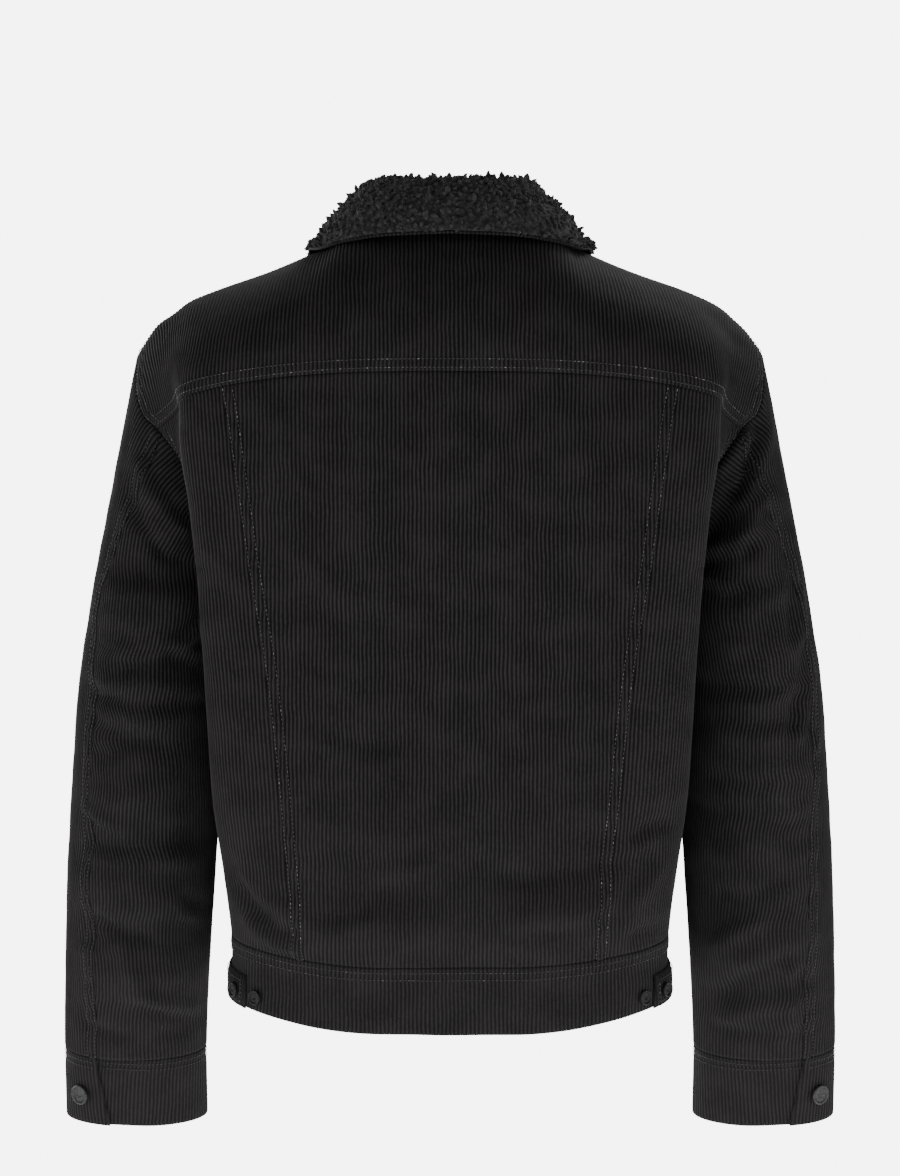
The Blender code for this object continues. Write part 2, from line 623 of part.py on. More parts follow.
def button_mesh(name, radius):
    """A sewn-through metal button: a shank, a rim and a sunk face, turned about its own Z axis."""
    profile = ((0.42, 0.0), (0.45, 0.0016), (0.97, 0.0020), (1.0, 0.0034), (0.80, 0.0044), (0.62, 0.0035))
    sides = 12
    bm = bmesh.new()
    rings = []
    for share, height in profile:
        ring = [math.tau * k / sides for k in range(sides)]
        reach = radius * share
        rings.append([bm.verts.new((reach * math.cos(a), reach * math.sin(a), height)) for a in ring])
    for low, high in zip(rings, rings[1:]):
        for k in range(sides):
            bm.faces.new((low[k], low[(k + 1) % sides], high[(k + 1) % sides], high[k]))
    bm.faces.new(rings[0][::-1])
    bm.faces.new(rings[-1])
    bmesh.ops.recalc_face_normals(bm, faces=bm.faces)
    mesh = bpy.data.meshes.new(name)
    bm.to_mesh(mesh)
    bm.free()
    mesh.shade_smooth()
    mesh.set_sharp_from_angle(angle=math.radians(40))
    return mesh


def add_button(name, mesh, grid, normals, row, column):
    """Sews a button on a grid, at a row and column that may lie between its points."""
    r, c = int(row), int(column)
    u, v = row - r, column - c
    near, far = ((1 - u) * (1 - v), r, c), ((1 - u) * v, r, c + 1)
    above, across = (u * (1 - v), r + 1, c), (u * v, r + 1, c + 1)
    shares = [corner for corner in (near, far, above, across) if corner[0] > 0]
    place = sum(share * grid[a, b] for share, a, b in shares)
    out = Vector(sum(share * normals[a, b] for share, a, b in shares)).normalized()
    turn = out.to_track_quat("Z", "Y").to_matrix().to_4x4()
    seat = Vector(place) + out * 2 * SEAM_GAP
    add(name, mesh, METAL, Matrix.Translation(seat) @ turn)


def column_on(side, grid, spot):
    """The spot's column on this side's grid: the right one's columns run the other way."""
    return spot[1] if side == "left" else grid.shape[1] - 1 - spot[1]


# ---------------------------------------------------------------- the jacket

def body_grids():
    """The outer grids of all the panels that share their borders, for both sides."""
    low = np.linspace(BAND_SEAM, ARMPIT, BODY_ROWS + 1)
    low[1] = BAND_SEAM + PUFF_ROW
    high = ARMPIT + (YOKE_SEAM - ARMPIT) * (np.arange(1, HOLE_ROWS + 1) / HOLE_ROWS) ** HOLE_CROWDING
    centre, side = back_rows(np.concatenate([low, high]))
    seam_row = np.vstack([centre[-1], side[-1][1:]])
    line, seam = back_line(YOKE_SEAM)
    shares = np.concatenate(back_shares(YOKE_SEAM, seam))
    shares = np.delete(shares, centre.shape[1])
    yoke, seam_share = yoke_grid(seam_row, shares)
    front = front_grid(low, seam_share)
    tab_top = HEM + TAB_HEIGHT
    band_heights = [HEM, tab_top, (BAND_SEAM + tab_top) / 2, BAND_SEAM]
    band_centre, band_side = back_rows(band_heights)
    band_front = front_grid(band_heights, seam_share)[: len(band_heights)]
    band_back = np.hstack([band_centre, band_side[:, 1:]])
    half_band = np.hstack([band_back, band_front[:, ::-1][:, 1:]])
    hole = np.vstack([side[BODY_ROWS:, -1], yoke[1:, -1], front[BODY_ROWS:-1, -1][::-1]])
    spots = np.concatenate([
        through(BACK_HOLE_HEIGHTS, np.arange(YOKE_SPOT + 1), np.concatenate([[ARMPIT], high])),
        np.linspace(YOKE_SPOT, SHOULDER_SPOT, YOKE_ROWS + 1)[1:],
        np.linspace(SHOULDER_SPOT, SPOTS, FRONT_ROWS + 1)[1:],
    ])
    sleeve = sleeve_grid(hole, armhole(spots)[:, 3])
    back_seam, front_seam = SLEEVE_SEAMS
    grids = {
        "back_centre": np.hstack([mirrored(centre), centre[:, 1:]]),
        "yoke": np.hstack([mirrored(yoke), yoke[:, 1:]]),
        "hem_band": np.hstack([mirrored(half_band), half_band[:, 1:]]),
        "back_side_left": side,
        "front_left": front[:, ::-1],
        "sleeve_upper_left": sleeve[:, back_seam : front_seam + 1],
        "sleeve_under_left": np.hstack([sleeve[:, front_seam:], sleeve[:, 1 : back_seam + 1]]),
    }
    for name in ("back_side", "front", "sleeve_upper", "sleeve_under"):
        grids[f"{name}_right"] = mirrored(grids[f"{name}_left"])
    total = normal_sums(grids.values())
    return {name: folded(grid, normals_at(grid, total)) for name, grid in grids.items()}


def ground_of(grids):
    """The outer faces of the body as one surface, for what rests on them."""
    points, faces = [], []
    for grid in grids:
        rows, columns = grid.shape[:2]
        first = len(points)
        points += [Vector(point) for point in grid.reshape(-1, 3)]
        for r in range(rows - 1):
            for c in range(columns - 1):
                low = first + r * columns + c
                faces.append((low, low + columns, low + columns + 1))
                faces.append((low, low + columns + 1, low + 1))
    return BVHTree.FromPolygons(points, faces)


def add_panels(grids, total):
    walls = {"hem_band": BAND_WALL, "sleeve": SLEEVE_WALL}
    for name, grid in grids.items():
        wall = next((walls[start] for start in walls if name.startswith(start)), BODY_WALL)
        normals = normals_at(grid, total)
        if name.startswith("sleeve"):
            normals[0] = in_ring_plane(normals[0], CUFF_SEAM)
        add_wall(name, grid, normals, wall)


def add_collar(ground):
    """The under collar, and the sherpa that lies on it and stops just short of its edge."""
    under = collar_grid(ground)[:, ::-1]
    out = normals_at(under, normal_sums([under]))
    out[0, :, 2] = 0
    out[0] /= np.linalg.norm(out[0], axis=1)[:, None]
    half_gap = SEAM_GAP / 2
    low, high = under - out * (half_gap + UNDER_COLLAR_WALL), under - out * half_gap
    add("collar_under", wall_mesh("collar_under", high, low), CORDUROY)
    upper, out = under[:-1], out[:-1]
    rows, columns = (np.linspace(0, 1, size) for size in upper.shape[:2])
    ends = np.minimum(1, 0.5 + 9 * np.minimum(columns, 1 - columns))
    plump = np.minimum(1, 0.45 + 4 * (1 - rows))[:, None] * ends
    low, high = upper + out * half_gap, upper + out * (half_gap + SHERPA_WALL * plump[..., None])
    add("collar_upper", wall_mesh("collar_upper", high, low), SHERPA)


def build():
    for existing in list(bpy.data.objects):
        bpy.data.objects.remove(existing, do_unlink=True)
    grids = body_grids()
    total = normal_sums(grids.values())
    add_panels(grids, total)
    add_collar(ground_of([grids[name] for name in ("yoke", "back_centre", "front_left", "front_right")]))

    jacket_button = button_mesh("jacket_button", JACKET_BUTTON)
    band_button = button_mesh("band_button", BAND_BUTTON)

    cuff = cuff_grid()
    band = grids["hem_band"]
    half = band.shape[1] // 2
    sides = (("left", band[:, half:], lambda grid: grid), ("right", mirrored(band)[:, half:], mirrored))
    for side, half_band, place in sides:
        strip = place(cuff)
        out = in_ring_plane(normals_at(strip, normal_sums([strip])), CUFF_SEAM)
        add_wall(f"cuff_{side}", strip, out, CUFF_WALL)
        spot = BUTTON_SPOTS["cuff"]
        add_button(f"button_cuff_{side}", jacket_button, strip, out, spot[0], column_on(side, strip, spot))

        tab = place(half_band[:2, TAB_COLUMNS[0] : TAB_COLUMNS[1] + 1])
        out = normals_at(tab, total)
        face = add_strip(f"tab_{side}", tab, out)
        spot = BUTTON_SPOTS["tab"]
        add_button(f"button_tab_{side}", band_button, face, out, spot[0], column_on(side, tab, spot))
        bare = place(half_band[:2, TAB_COLUMNS[0] - 1 : TAB_COLUMNS[0] + 1])
        out = normals_at(bare, total)
        spot = BUTTON_SPOTS["band"]
        add_button(f"button_band_{side}", band_button, bare, out, spot[0], column_on(side, bare, spot))

    fronts = np.hstack([grids["front_left"][1:, -2:], grids["front_right"][1:, 1:2]])
    placket = np.vstack([band[:, [-2, -1, 1]], fronts])
    out = normals_at(placket, total)
    face = add_strip("placket", placket, out)
    for number, height in enumerate(FRONT_BUTTONS, start=1):
        row = np.interp(height, placket[:, 1, 2], np.arange(len(placket)))
        add_button(f"button_front_{number}", jacket_button, face, out, row, 1)


build()
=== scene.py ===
"""A black corduroy trucker jacket with a sherpa collar and lining, filled out as if worn.

Metres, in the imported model's frame: +Z is up, +Y is the back, +X is the wearer's left. The jacket is
made in a sewing room's order: body, sleeves, seams, band, tabs, placket, cuffs, collar and buttons.
"""

import math
import random

import bmesh
import bpy
import numpy as np
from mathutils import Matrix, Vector, noise
from mathutils.bvhtree import BVHTree


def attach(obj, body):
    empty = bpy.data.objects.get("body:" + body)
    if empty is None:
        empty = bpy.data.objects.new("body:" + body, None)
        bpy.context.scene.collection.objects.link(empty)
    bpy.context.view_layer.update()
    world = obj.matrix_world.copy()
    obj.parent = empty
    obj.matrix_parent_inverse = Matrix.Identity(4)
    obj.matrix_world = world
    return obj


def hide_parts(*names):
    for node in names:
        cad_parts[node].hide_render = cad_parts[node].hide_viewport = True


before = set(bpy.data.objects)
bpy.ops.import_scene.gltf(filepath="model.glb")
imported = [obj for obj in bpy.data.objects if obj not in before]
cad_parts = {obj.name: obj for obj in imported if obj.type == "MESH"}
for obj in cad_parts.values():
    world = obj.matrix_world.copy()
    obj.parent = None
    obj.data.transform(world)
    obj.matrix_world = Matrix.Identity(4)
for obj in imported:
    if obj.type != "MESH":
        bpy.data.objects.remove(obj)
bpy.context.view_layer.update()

# ---------------------------------------------------------------- studio
# A pale floor as far down as it lies under a wearer's feet, and a pale room, darker overhead. Soft
# lights stand high and low behind the jacket, at both sides, where they graze the cloth, and in front.

FLOOR_Z, FLOOR_REACH, FLOOR_CORNERS = -1.42, 30, 64
AIM = Vector((0, 0, -0.2848))
CAMERA_DISTANCE, CAMERA_RISE = 3.2, math.radians(4)
METRES_PER_PIXEL, PICTURE_HEIGHT, SENSOR = 0.0008, 1176, 36
FLOOR_GLOW, ROOM_GLOW, BACKDROP_GLOW = 1.45, (1.00, 0.50), 6.5
WHITE = (1, 1, 1, 1)


def put(tree, socket, value):
    """Sets a socket, or links it where the value is another one."""
    if isinstance(value, bpy.types.NodeSocket):
        tree.links.new(value, socket)
    else:
        socket.default_value = value


def wire(tree, sockets, **given):
    """Fills sockets, each given by its name with _ for a space."""
    for name, value in given.items():
        put(tree, sockets[name.replace("_", " ")], value)


def node(tree, kind, **given):
    """A new shader node with the given inputs."""
    made = tree.nodes.new(f"ShaderNode{kind}")
    wire(tree, made.inputs, **given)
    return made


def plain(name, colour, roughness, **given):
    """A material with one Principled shader, its node tree and that shader's sockets."""
    made = bpy.data.materials.new(name)
    made.use_nodes = True
    sockets = made.node_tree.nodes["Principled BSDF"].inputs
    wire(made.node_tree, sockets, Base_Color=(*colour, 1), Roughness=roughness, **given)
    made.diffuse_color = (*colour, 1)
    return made, made.node_tree, sockets


def linked(name, data):
    """An object with this data, put in the scene."""
    piece = bpy.data.objects.new(name, data)
    bpy.context.scene.collection.objects.link(piece)
    return piece


floor_mesh = bpy.data.meshes.new("floor")
turns = [math.tau * k / FLOOR_CORNERS for k in range(FLOOR_CORNERS)]
floor_ring = [(FLOOR_REACH * math.cos(turn), FLOOR_REACH * math.sin(turn), FLOOR_Z) for turn in turns]
floor_mesh.from_pydata(floor_ring, [], [range(FLOOR_CORNERS)])
floor = linked("floor", floor_mesh)
pale_floor, floor_tree, _ = plain(
    "pale_floor", (0.86, 0.86, 0.86), 0.9, Emission_Color=WHITE, Emission_Strength=FLOOR_GLOW
)
floor_mesh.materials.append(pale_floor)

world = bpy.data.worlds.new("pale_room")
bpy.context.scene.world = world
world.use_nodes = True
room = world.node_tree
up = node(room, "SeparateXYZ", Vector=node(room, "TexCoord").outputs["Generated"]).outputs["Z"]
dim = node(room, "MapRange", Value=up, From_Min=-0.2, From_Max=1, To_Min=ROOM_GLOW[0], To_Max=ROOM_GLOW[1])
wire(room, room.nodes["Background"].inputs, Color=WHITE, Strength=dim.outputs[0])

# Seen by the camera, the floor and the room are one clean, bright backdrop.
for tree, output, kind in ((floor_tree, "Material Output", "Emission"), (room, "World Output", "Background")):
    surface = tree.nodes[output].inputs["Surface"]
    bright = node(tree, kind, Color=WHITE, Strength=BACKDROP_GLOW)
    swap = node(tree, "MixShader", Fac=node(tree, "LightPath").outputs["Is Camera Ray"])
    put(tree, swap.inputs[1], surface.links[0].from_socket)
    put(tree, swap.inputs[2], bright.outputs[0])
    put(tree, surface, swap.outputs[0])

for name, place, size, power in (
    ("light_over", (0.7, 2.6, 1.2), 1.4, 34),
    ("light_left", (2.0, 1.1, -0.75), 0.8, 23),
    ("light_right", (-2.1, 1.1, -0.75), 0.8, 29),
    ("light_low", (0.0, 1.1, -1.15), 0.6, 7),
    ("light_front", (-0.9, -2.2, 2.0), 1.2, 60),
    ("light_front_side", (1.8, -1.8, -0.2), 1.0, 40),
):
    lamp = bpy.data.lights.new(name, "AREA")
    lamp.shape, lamp.size, lamp.energy = "DISK", size, power
    light = linked(name, lamp)
    light.location = place
    light.rotation_euler = (AIM - Vector(place)).to_track_quat("-Z", "Y").to_euler()

lens = bpy.data.cameras.new("camera")
lens.sensor_fit, lens.sensor_height = "VERTICAL", SENSOR
lens.lens = SENSOR * CAMERA_DISTANCE / (PICTURE_HEIGHT * METRES_PER_PIXEL)
camera = linked("camera", lens)
camera.location = AIM + CAMERA_DISTANCE * Vector((0, math.cos(CAMERA_RISE), math.sin(CAMERA_RISE)))
camera.rotation_euler = (AIM - camera.location).to_track_quat("-Z", "Y").to_euler()
bpy.context.scene.camera = camera

# ---------------------------------------------------------------- the cut of the body
# The body is cut in flat panels of black eight-wale corduroy: yoke, centre back, two side backs, two
# fronts. Each panel's sewn-up face is worked out here as a grid of points, rows up and columns across.

ARMPIT, BAND_SEAM, YOKE_SEAM, HEM = -0.262, -0.571, -0.1092, -0.624
SIDE_Y, HOLE_REACH, FRONT_TURN, PLACKET_HALF = -0.005, 0.060, -0.083, 0.020
NECK_POINT, NECK_SIDE, NECK_BACK, NECK_FRONT = math.radians(100), 0.080, 0.070, 0.098
NECK_RISE, NECK_DROP = 0.012, 0.072
NECK_SHARE, NECK_CELLS = 0.42, 5
SIDE_SHARES = (0, 0.17, 0.35, 0.48, 0.60, 0.73, 0.86, 1)
CORNER_POINTS, SOFT_REACH, SOFT_SPREAD = 200, 12, 6
FINE = 8  # columns of a grid between two of the panel's main lines


def table(names, *rows):
    """A table with named columns and a row for each section."""
    return dict(zip(names.split(), np.array(rows, float).T))


# Sections of the body, by their height at the centre back.
TORSO = table(
    "height side depth half turn square edge seam front_depth front_half",
    (-0.624, -0.600, 0.124, 0.1728, 0.045, 0.78, 0.166, 0.1160, 0.114, 0.173),
    (-0.571, -0.553, 0.126, 0.1728, 0.045, 0.78, 0.168, 0.1165, 0.118, 0.175),
    (-0.545, -0.530, 0.136, 0.1745, 0.055, 0.75, 0.172, 0.1178, 0.126, 0.179),
    (-0.500, -0.488, 0.139, 0.1795, 0.065, 0.70, 0.175, 0.1210, 0.131, 0.183),
    (-0.455, -0.447, 0.141, 0.1848, 0.075, 0.66, 0.174, 0.1250, 0.134, 0.187),
    (-0.395, -0.391, 0.143, 0.1882, 0.085, 0.62, 0.168, 0.1305, 0.137, 0.190),
    (-0.330, -0.328, 0.146, 0.1915, 0.092, 0.58, 0.160, 0.1380, 0.139, 0.192),
    (-0.262, -0.262, 0.149, 0.1960, 0.097, 0.56, 0.165, 0.1490, 0.140, 0.192),
    (-0.215, -0.215, 0.150, 0.2010, 0.100, 0.55, 0.192, 0.1555, 0.140, 0.192),
    (-0.175, -0.182, 0.150, 0.2065, 0.102, 0.55, 0.210, 0.1610, 0.140, 0.192),
    (-0.1092, -0.156, 0.143, 0.2085, 0.100, 0.55, 0.2285, 0.1670, 0.140, 0.192),
)
# Round the left armhole from the armpit up the back, with the sleeve's angle at each spot.
ARMHOLE = table(
    "x y z angle",
    (0.1650, -0.005, -0.262, 180),
    (0.1740, 0.0330, -0.246, 152),
    (0.1920, 0.0550, -0.215, 120),
    (0.2100, 0.0620, -0.182, 85),
    (0.2285, 0.0590, -0.156, 48),
    (0.2415, 0.0510, -0.144, 32),
    (0.2475, 0.0340, -0.122, 16),
    (0.2480, 0.0080, -0.098, 0),
    (0.2460, -0.0180, -0.101, -18),
    (0.2380, -0.0500, -0.130, -50),
    (0.2200, -0.0700, -0.165, -85),
    (0.1980, -0.0700, -0.205, -118),
    (0.1780, -0.0480, -0.242, -150),
)
YOKE_SPOT, SHOULDER_SPOT, SPOTS = 4, 8, 13
BACK_HOLE_HEIGHTS = (-0.262, -0.240, -0.215, -0.175, -0.1092)
SHOULDER = table(
    "x y z",
    (0.110, -0.0175, -0.0205),
    (0.138, -0.0180, -0.0330),
    (0.181, -0.0180, -0.0490),
    (0.214, -0.0180, -0.0660),
    (0.235, -0.0180, -0.0845),
)


def through(knots, values, at):
    """A smooth curve through the values at the knots, read at other places."""
    knots, values, at = (np.asarray(each, float) for each in (knots, values, at))
    slopes = np.gradient(values, knots, axis=0)
    left = np.clip(np.searchsorted(knots, at, side="right") - 1, 0, len(knots) - 2)
    span = knots[left + 1] - knots[left]
    t = (at - knots[left]) / span
    t, span = (each.reshape(each.shape + (1,) * (values.ndim - 1)) for each in (t, span))
    bend = span * (slopes[left] * t * (1 - t) ** 2 - slopes[left + 1] * t * t * (1 - t))
    return values[left] * (1 - smooth(t)) + values[left + 1] * smooth(t) + bend


def smooth(t):
    t = np.clip(t, 0, 1)
    return t * t * (3 - 2 * t)


def unit(vectors):
    return vectors / np.maximum(np.linalg.norm(vectors, axis=-1), 1e-12)[..., None]


def lengths(points):
    return np.concatenate([[0], np.cumsum(np.linalg.norm(np.diff(points, axis=0), axis=1))])


def at_length(points, run, places):
    return np.stack([np.interp(places, run, points[:, axis]) for axis in range(points.shape[1])], axis=1)


def along(points, shares):
    """The points that lie at these shares of a line's length."""
    run = lengths(points)
    return at_length(points, run, np.asarray(shares) * run[-1])


def bezier(start, start_handle, end_handle, end, t):
    t = np.asarray(t)[:, None]
    near, far = 3 * start_handle * t * (1 - t) ** 2, 3 * end_handle * t * t * (1 - t)
    return start * (1 - t) ** 3 + near + far + end * t**3


def between(values, fine=FINE):
    """The values with evenly spaced ones put in between."""
    steps = len(values) - 1
    return np.interp(np.linspace(0, steps, steps * fine + 1), range(steps + 1), np.asarray(values, float))


def armhole(spot):
    order = np.arange(-2, SPOTS + 3)
    ring = np.stack([ARMHOLE[name][order % SPOTS] for name in ("x", "y", "z", "angle")], axis=1)
    ring[:, 3] -= 360 * (order // SPOTS)
    return through(order, ring, spot)


def hole_spot(height):
    return through(BACK_HOLE_HEIGHTS, np.arange(YOKE_SPOT + 1), height)


def row_of(sections, by, at):
    return {name: float(through(sections[by], sections[name], at)) for name in sections}


def back_edge(height):
    """Where the back ends at this height: on the side seam, or on the armhole above it."""
    if height > ARMPIT:
        return armhole(hole_spot(height))[:3]
    row = row_of(TORSO, "height", height)
    return np.array([row["edge"], SIDE_Y, row["side"]])


def half_outline(half, turn, depth, square, edge):
    """From the centre line round the corner to the edge, seen from above."""
    phi = np.linspace(0, math.pi / 2, CORNER_POINTS)
    s = np.linspace(0, 1, 80)[1:]
    open_end = np.clip((edge[1] + SIDE_Y) / HOLE_REACH, 0, 1)
    inward = smooth(s) * (1 - open_end) + s**2 * open_end
    x = np.concatenate([half * np.sin(phi) ** square, half + (edge[0] - half) * inward])
    y = np.concatenate([turn + (depth - turn) * np.cos(phi) ** square, turn + (edge[1] - turn) * s])
    return np.stack([x, y, np.zeros_like(x)], axis=1)


def back_line(height):
    """The back's outline at a height, and the share of it at which the long back seam lies."""
    row, edge = row_of(TORSO, "height", height), back_edge(height)
    line = half_outline(row["half"], row["turn"], row["depth"], row["square"], edge)
    run = lengths(line)
    share = run / run[-1]
    rise = share**3 if height > ARMPIT else smooth((share - 0.2) / 0.75)
    line[:, 2] = height + (edge[2] - height) * rise
    return line, np.interp(row["seam"], line[:CORNER_POINTS, 0], share[:CORNER_POINTS])


def front_line(height):
    row = row_of(TORSO, "height", height)
    line = half_outline(row["front_half"], -FRONT_TURN, row["front_depth"], 0.8, (row["edge"], -SIDE_Y))
    line[:, 1] *= -1
    line[:, 2] = row["side"]
    return line


def neck(angle):
    """The neck seam, by the angle from the centre back."""
    side, back = np.sin(angle), np.cos(angle)
    y = np.where(back > 0, NECK_BACK, NECK_FRONT) * back
    z = np.where(back > 0, NECK_RISE * back, -NECK_DROP * np.abs(back) ** 1.3)
    return np.stack([NECK_SIDE * side, y, z], axis=-1)


COLLAR_END = math.pi - math.asin(PLACKET_HALF / NECK_SIDE)
FRONT_NECK_ANGLES = np.concatenate([[math.pi], np.linspace(COLLAR_END, NECK_POINT, NECK_CELLS)])


def shoulder_seam():
    ends = neck(NECK_POINT), armhole(SHOULDER_SPOT)[:3]
    knots = np.vstack([ends[0], np.stack([SHOULDER[name] for name in "xyz"], axis=1), ends[1]])
    return through(knots[:, 0], knots, np.linspace(knots[0, 0], knots[-1, 0], 100))


def back_shares(height, yoke_seam_share):
    seam = back_line(height)[1]
    at_neck = NECK_SHARE / yoke_seam_share
    centre = np.concatenate([np.linspace(0, at_neck, NECK_CELLS + 1), np.linspace(at_neck, 1, 4)[1:]]) * seam
    return between(centre), between(seam + (1 - seam) * np.array(SIDE_SHARES))


def back_rows(heights):
    """The centre back and side back of the left half, one row for each height."""
    yoke_seam_share = back_line(YOKE_SEAM)[1]
    centre, side = [], []
    for height in heights:
        line = back_line(height)[0]
        for grid, shares in zip((centre, side), back_shares(height, yoke_seam_share)):
            grid.append(along(line, shares))
        side[-1][-1] = back_edge(height)
    return np.array(centre), np.array(side)


def over_shoulder(starts, ends, steep, lifts, edge, steps, sideways, forward, fit):
    """Columns that rise from a row and bend forward to the neck and shoulder.

    Those past the share fit are drawn over to the armhole's edge, on which the last one lies.
    """
    columns = []
    for start, end, bend, lift in zip(starts, ends, steep, lifts):
        across, reach, rise = (end - start) * (1, -1, 1)
        start_handle = start + np.array([sideways[0] * across, 0.06 * reach, 0.5 * rise])
        end_handle = end + np.array([sideways[1] * across, (forward[0] - forward[1] * bend) * reach, lift])
        columns.append(bezier(start, start_handle, end_handle, end, steps))
    grid = np.stack(columns, axis=1)
    weight = smooth((np.linspace(0, 1, grid.shape[1]) - fit) / (1 - fit))
    return grid + (edge - grid[:, -1])[:, None] * weight[None, :, None]


def blurred(lines, reach, spread, wide):
    """Weighted means of neighbouring columns, from lines that have reach more of them at both ends."""
    shares = np.exp(-((np.arange(-reach, reach + 1) / spread) ** 2))
    return sum(share * lines[:, k : k + wide] for k, share in enumerate(shares / shares.sum()))


def softened(grid):
    """Rounds off a half grid's inside along its rows. Its borders and its middle column keep their line."""
    wide = grid.shape[1]
    flipped = grid[:, SOFT_REACH:0:-1] * (-1, 1, 1)
    extended = np.hstack([flipped, grid, np.repeat(grid[:, -1:], SOFT_REACH, axis=1)])
    mean = blurred(extended, SOFT_REACH, SOFT_SPREAD, wide)
    rows, columns = np.arange(grid.shape[0]), np.arange(wide)
    weight = smooth(np.minimum(rows, rows[::-1]) / 6)[:, None] * smooth(columns[::-1] / 8)
    return grid + (mean - grid) * weight[..., None]


def yoke_grid(seam_row, shares, steps):
    """The left half of the yoke, from its seam at the back to the neck and the shoulder seam."""
    at_neck = shares <= NECK_SHARE + 1e-9
    tops = np.empty_like(seam_row)
    tops[at_neck] = neck(NECK_POINT * shares[at_neck] / NECK_SHARE)
    seam_share = (shares[~at_neck] - NECK_SHARE) / (1 - NECK_SHARE)
    tops[~at_neck] = along(shoulder_seam(), seam_share)
    steep = 1 - smooth(shares / NECK_SHARE)
    lifts = 0.006 - (0.30 * (tops - seam_row)[:, 2] + 0.006) * steep
    edge = armhole(YOKE_SPOT + steps * (SHOULDER_SPOT - YOKE_SPOT))[:, :3]
    grid = over_shoulder(
        seam_row, tops, steep, lifts, edge, steps, sideways=(0.02, -0.25), forward=(0.55, 0.2), fit=0.45
    )
    return softened(grid), seam_share


def front_grid(heights, seam_share, steps):
    """The left front, from the centre line to the side seam and armhole, and up to the shoulder."""
    coarse = np.linspace(0, NECK_SHARE, NECK_CELLS + 1)
    beyond = NECK_SHARE + (1 - NECK_SHARE) * seam_share
    shares = np.concatenate([between(coarse), beyond])
    lower = []
    for height in heights:
        line = front_line(height)
        run = lengths(line)
        coarse[1] = np.interp(PLACKET_HALF, line[:CORNER_POINTS, 0], run[:CORNER_POINTS]) / run[-1]
        lower.append(along(line, np.concatenate([between(coarse), beyond])))
        lower[-1][-1] = back_edge(height)
    lower = np.array(lower)
    tops = np.vstack([neck(between(FRONT_NECK_ANGLES)), along(shoulder_seam(), seam_share)])
    steep = 1 - smooth(shares / NECK_SHARE)
    lifts = -0.004 - (0.35 * (tops - lower[-1])[:, 2] - 0.004) * (1 - smooth(shares / (2 * NECK_SHARE)))
    edge = armhole(SPOTS - steps * (SPOTS - SHOULDER_SPOT))[:, :3]
    upper = over_shoulder(
        lower[-1], tops, steep, lifts, edge, steps, sideways=(0, -0.2), forward=(0.6, 0.25), fit=0.5
    )
    return np.vstack([lower, upper[1:]])


def mirrored(grid):
    """The same grid on the other side, with its columns in the opposite order."""
    return grid[:, ::-1] * np.array([-1, 1, 1])


# Rows lie about 5 mm apart, and two more lie close to each seam, where the cloth turns in.
TURN_ROWS, TURN_STEPS = np.array([0.0012, 0.0035]), (0.007, 0.993)
LOW_ROWS, HIGH_ROWS, YOKE_ROWS, FRONT_ROWS = 64, 32, 37, 33
low_rows = np.linspace(BAND_SEAM + 0.008, ARMPIT - 0.006, LOW_ROWS)
low = np.unique(np.round(np.concatenate([[BAND_SEAM, ARMPIT], BAND_SEAM + TURN_ROWS, low_rows]), 6))
high = ARMPIT + (YOKE_SEAM - ARMPIT) * (np.arange(1, HIGH_ROWS + 1) / HIGH_ROWS) ** 1.3
high = np.sort(np.concatenate([high, YOKE_SEAM - TURN_ROWS]))
yoke_steps, front_steps = (
    np.sort(np.append(np.linspace(0, 1, rows), TURN_STEPS)) for rows in (YOKE_ROWS, FRONT_ROWS)
)
BAND_ROWS = (0, 0.0008, 0.0022, 0.006, 0.012, 0.019, 0.027, 0.034, 0.040, 0.046, 0.0500, 0.0518, 0.053)
TAB_ROW = 6
band_heights = HEM + np.array(BAND_ROWS)

centre, side = back_rows(np.concatenate([low, high]))
seam_shares = back_shares(YOKE_SEAM, back_line(YOKE_SEAM)[1])
yoke, seam_share = yoke_grid(
    np.vstack([centre[-1], side[-1][1:]]), np.concatenate([seam_shares[0], seam_shares[1][1:]]), yoke_steps
)
front = front_grid(low, seam_share, front_steps)
band_centre, band_side = back_rows(band_heights)
band_front = front_grid(band_heights, seam_share, front_steps)[: len(band_heights)]
half_band = np.hstack([band_centre, band_side[:, 1:], band_front[:, ::-1][:, 1:]])

# ---------------------------------------------------------------- the cut of the sleeves
# Each sleeve has an upper and an under piece. Its rings start round the armhole and end at the cuff,
# and the cloth turns a little round the arm on the way down, as it does on a bent arm.

SLEEVE = table(
    "z x y across along lean twist",
    (-0.300, 0.2315, 0.000, 0.0560, 0.0700, 0, -14),
    (-0.360, 0.2397, -0.004, 0.0575, 0.0710, 3, -13),
    (-0.420, 0.2435, -0.012, 0.0590, 0.0690, 8, -8),
    (-0.500, 0.2491, -0.028, 0.0598, 0.0640, 13, -1),
    (-0.580, 0.2544, -0.046, 0.0588, 0.0560, 13, 4),
    (-0.666, 0.2585, -0.0665, 0.0580, 0.0430, 8, 7),
    (-0.726, 0.2590, -0.0825, 0.0582, 0.0390, 7, 7),
)
CUFF_SEAM, CUFF_HEM = -0.666, -0.726
ARM_ROWS, CAP_ROWS = 84, 27
FRONT_SEAM = 0.25  # where the sleeve's front seam starts, as a share of the front half of the armhole


def sleeve_ring(z, angles, twisted=True):
    """One ring of the left sleeve, at angles in degrees: 0 is outward and 90 is back."""
    row = {name: through(-SLEEVE["z"], SLEEVE[name], -z) for name in SLEEVE}
    turn, lean = np.radians(angles + row["twist"] * twisted), math.radians(row["lean"])
    back = row["along"] * np.sin(turn)
    x = row["x"] + row["across"] * np.cos(turn)
    return np.stack([x, row["y"] + back * math.cos(lean), z - back * math.sin(lean)], axis=1)


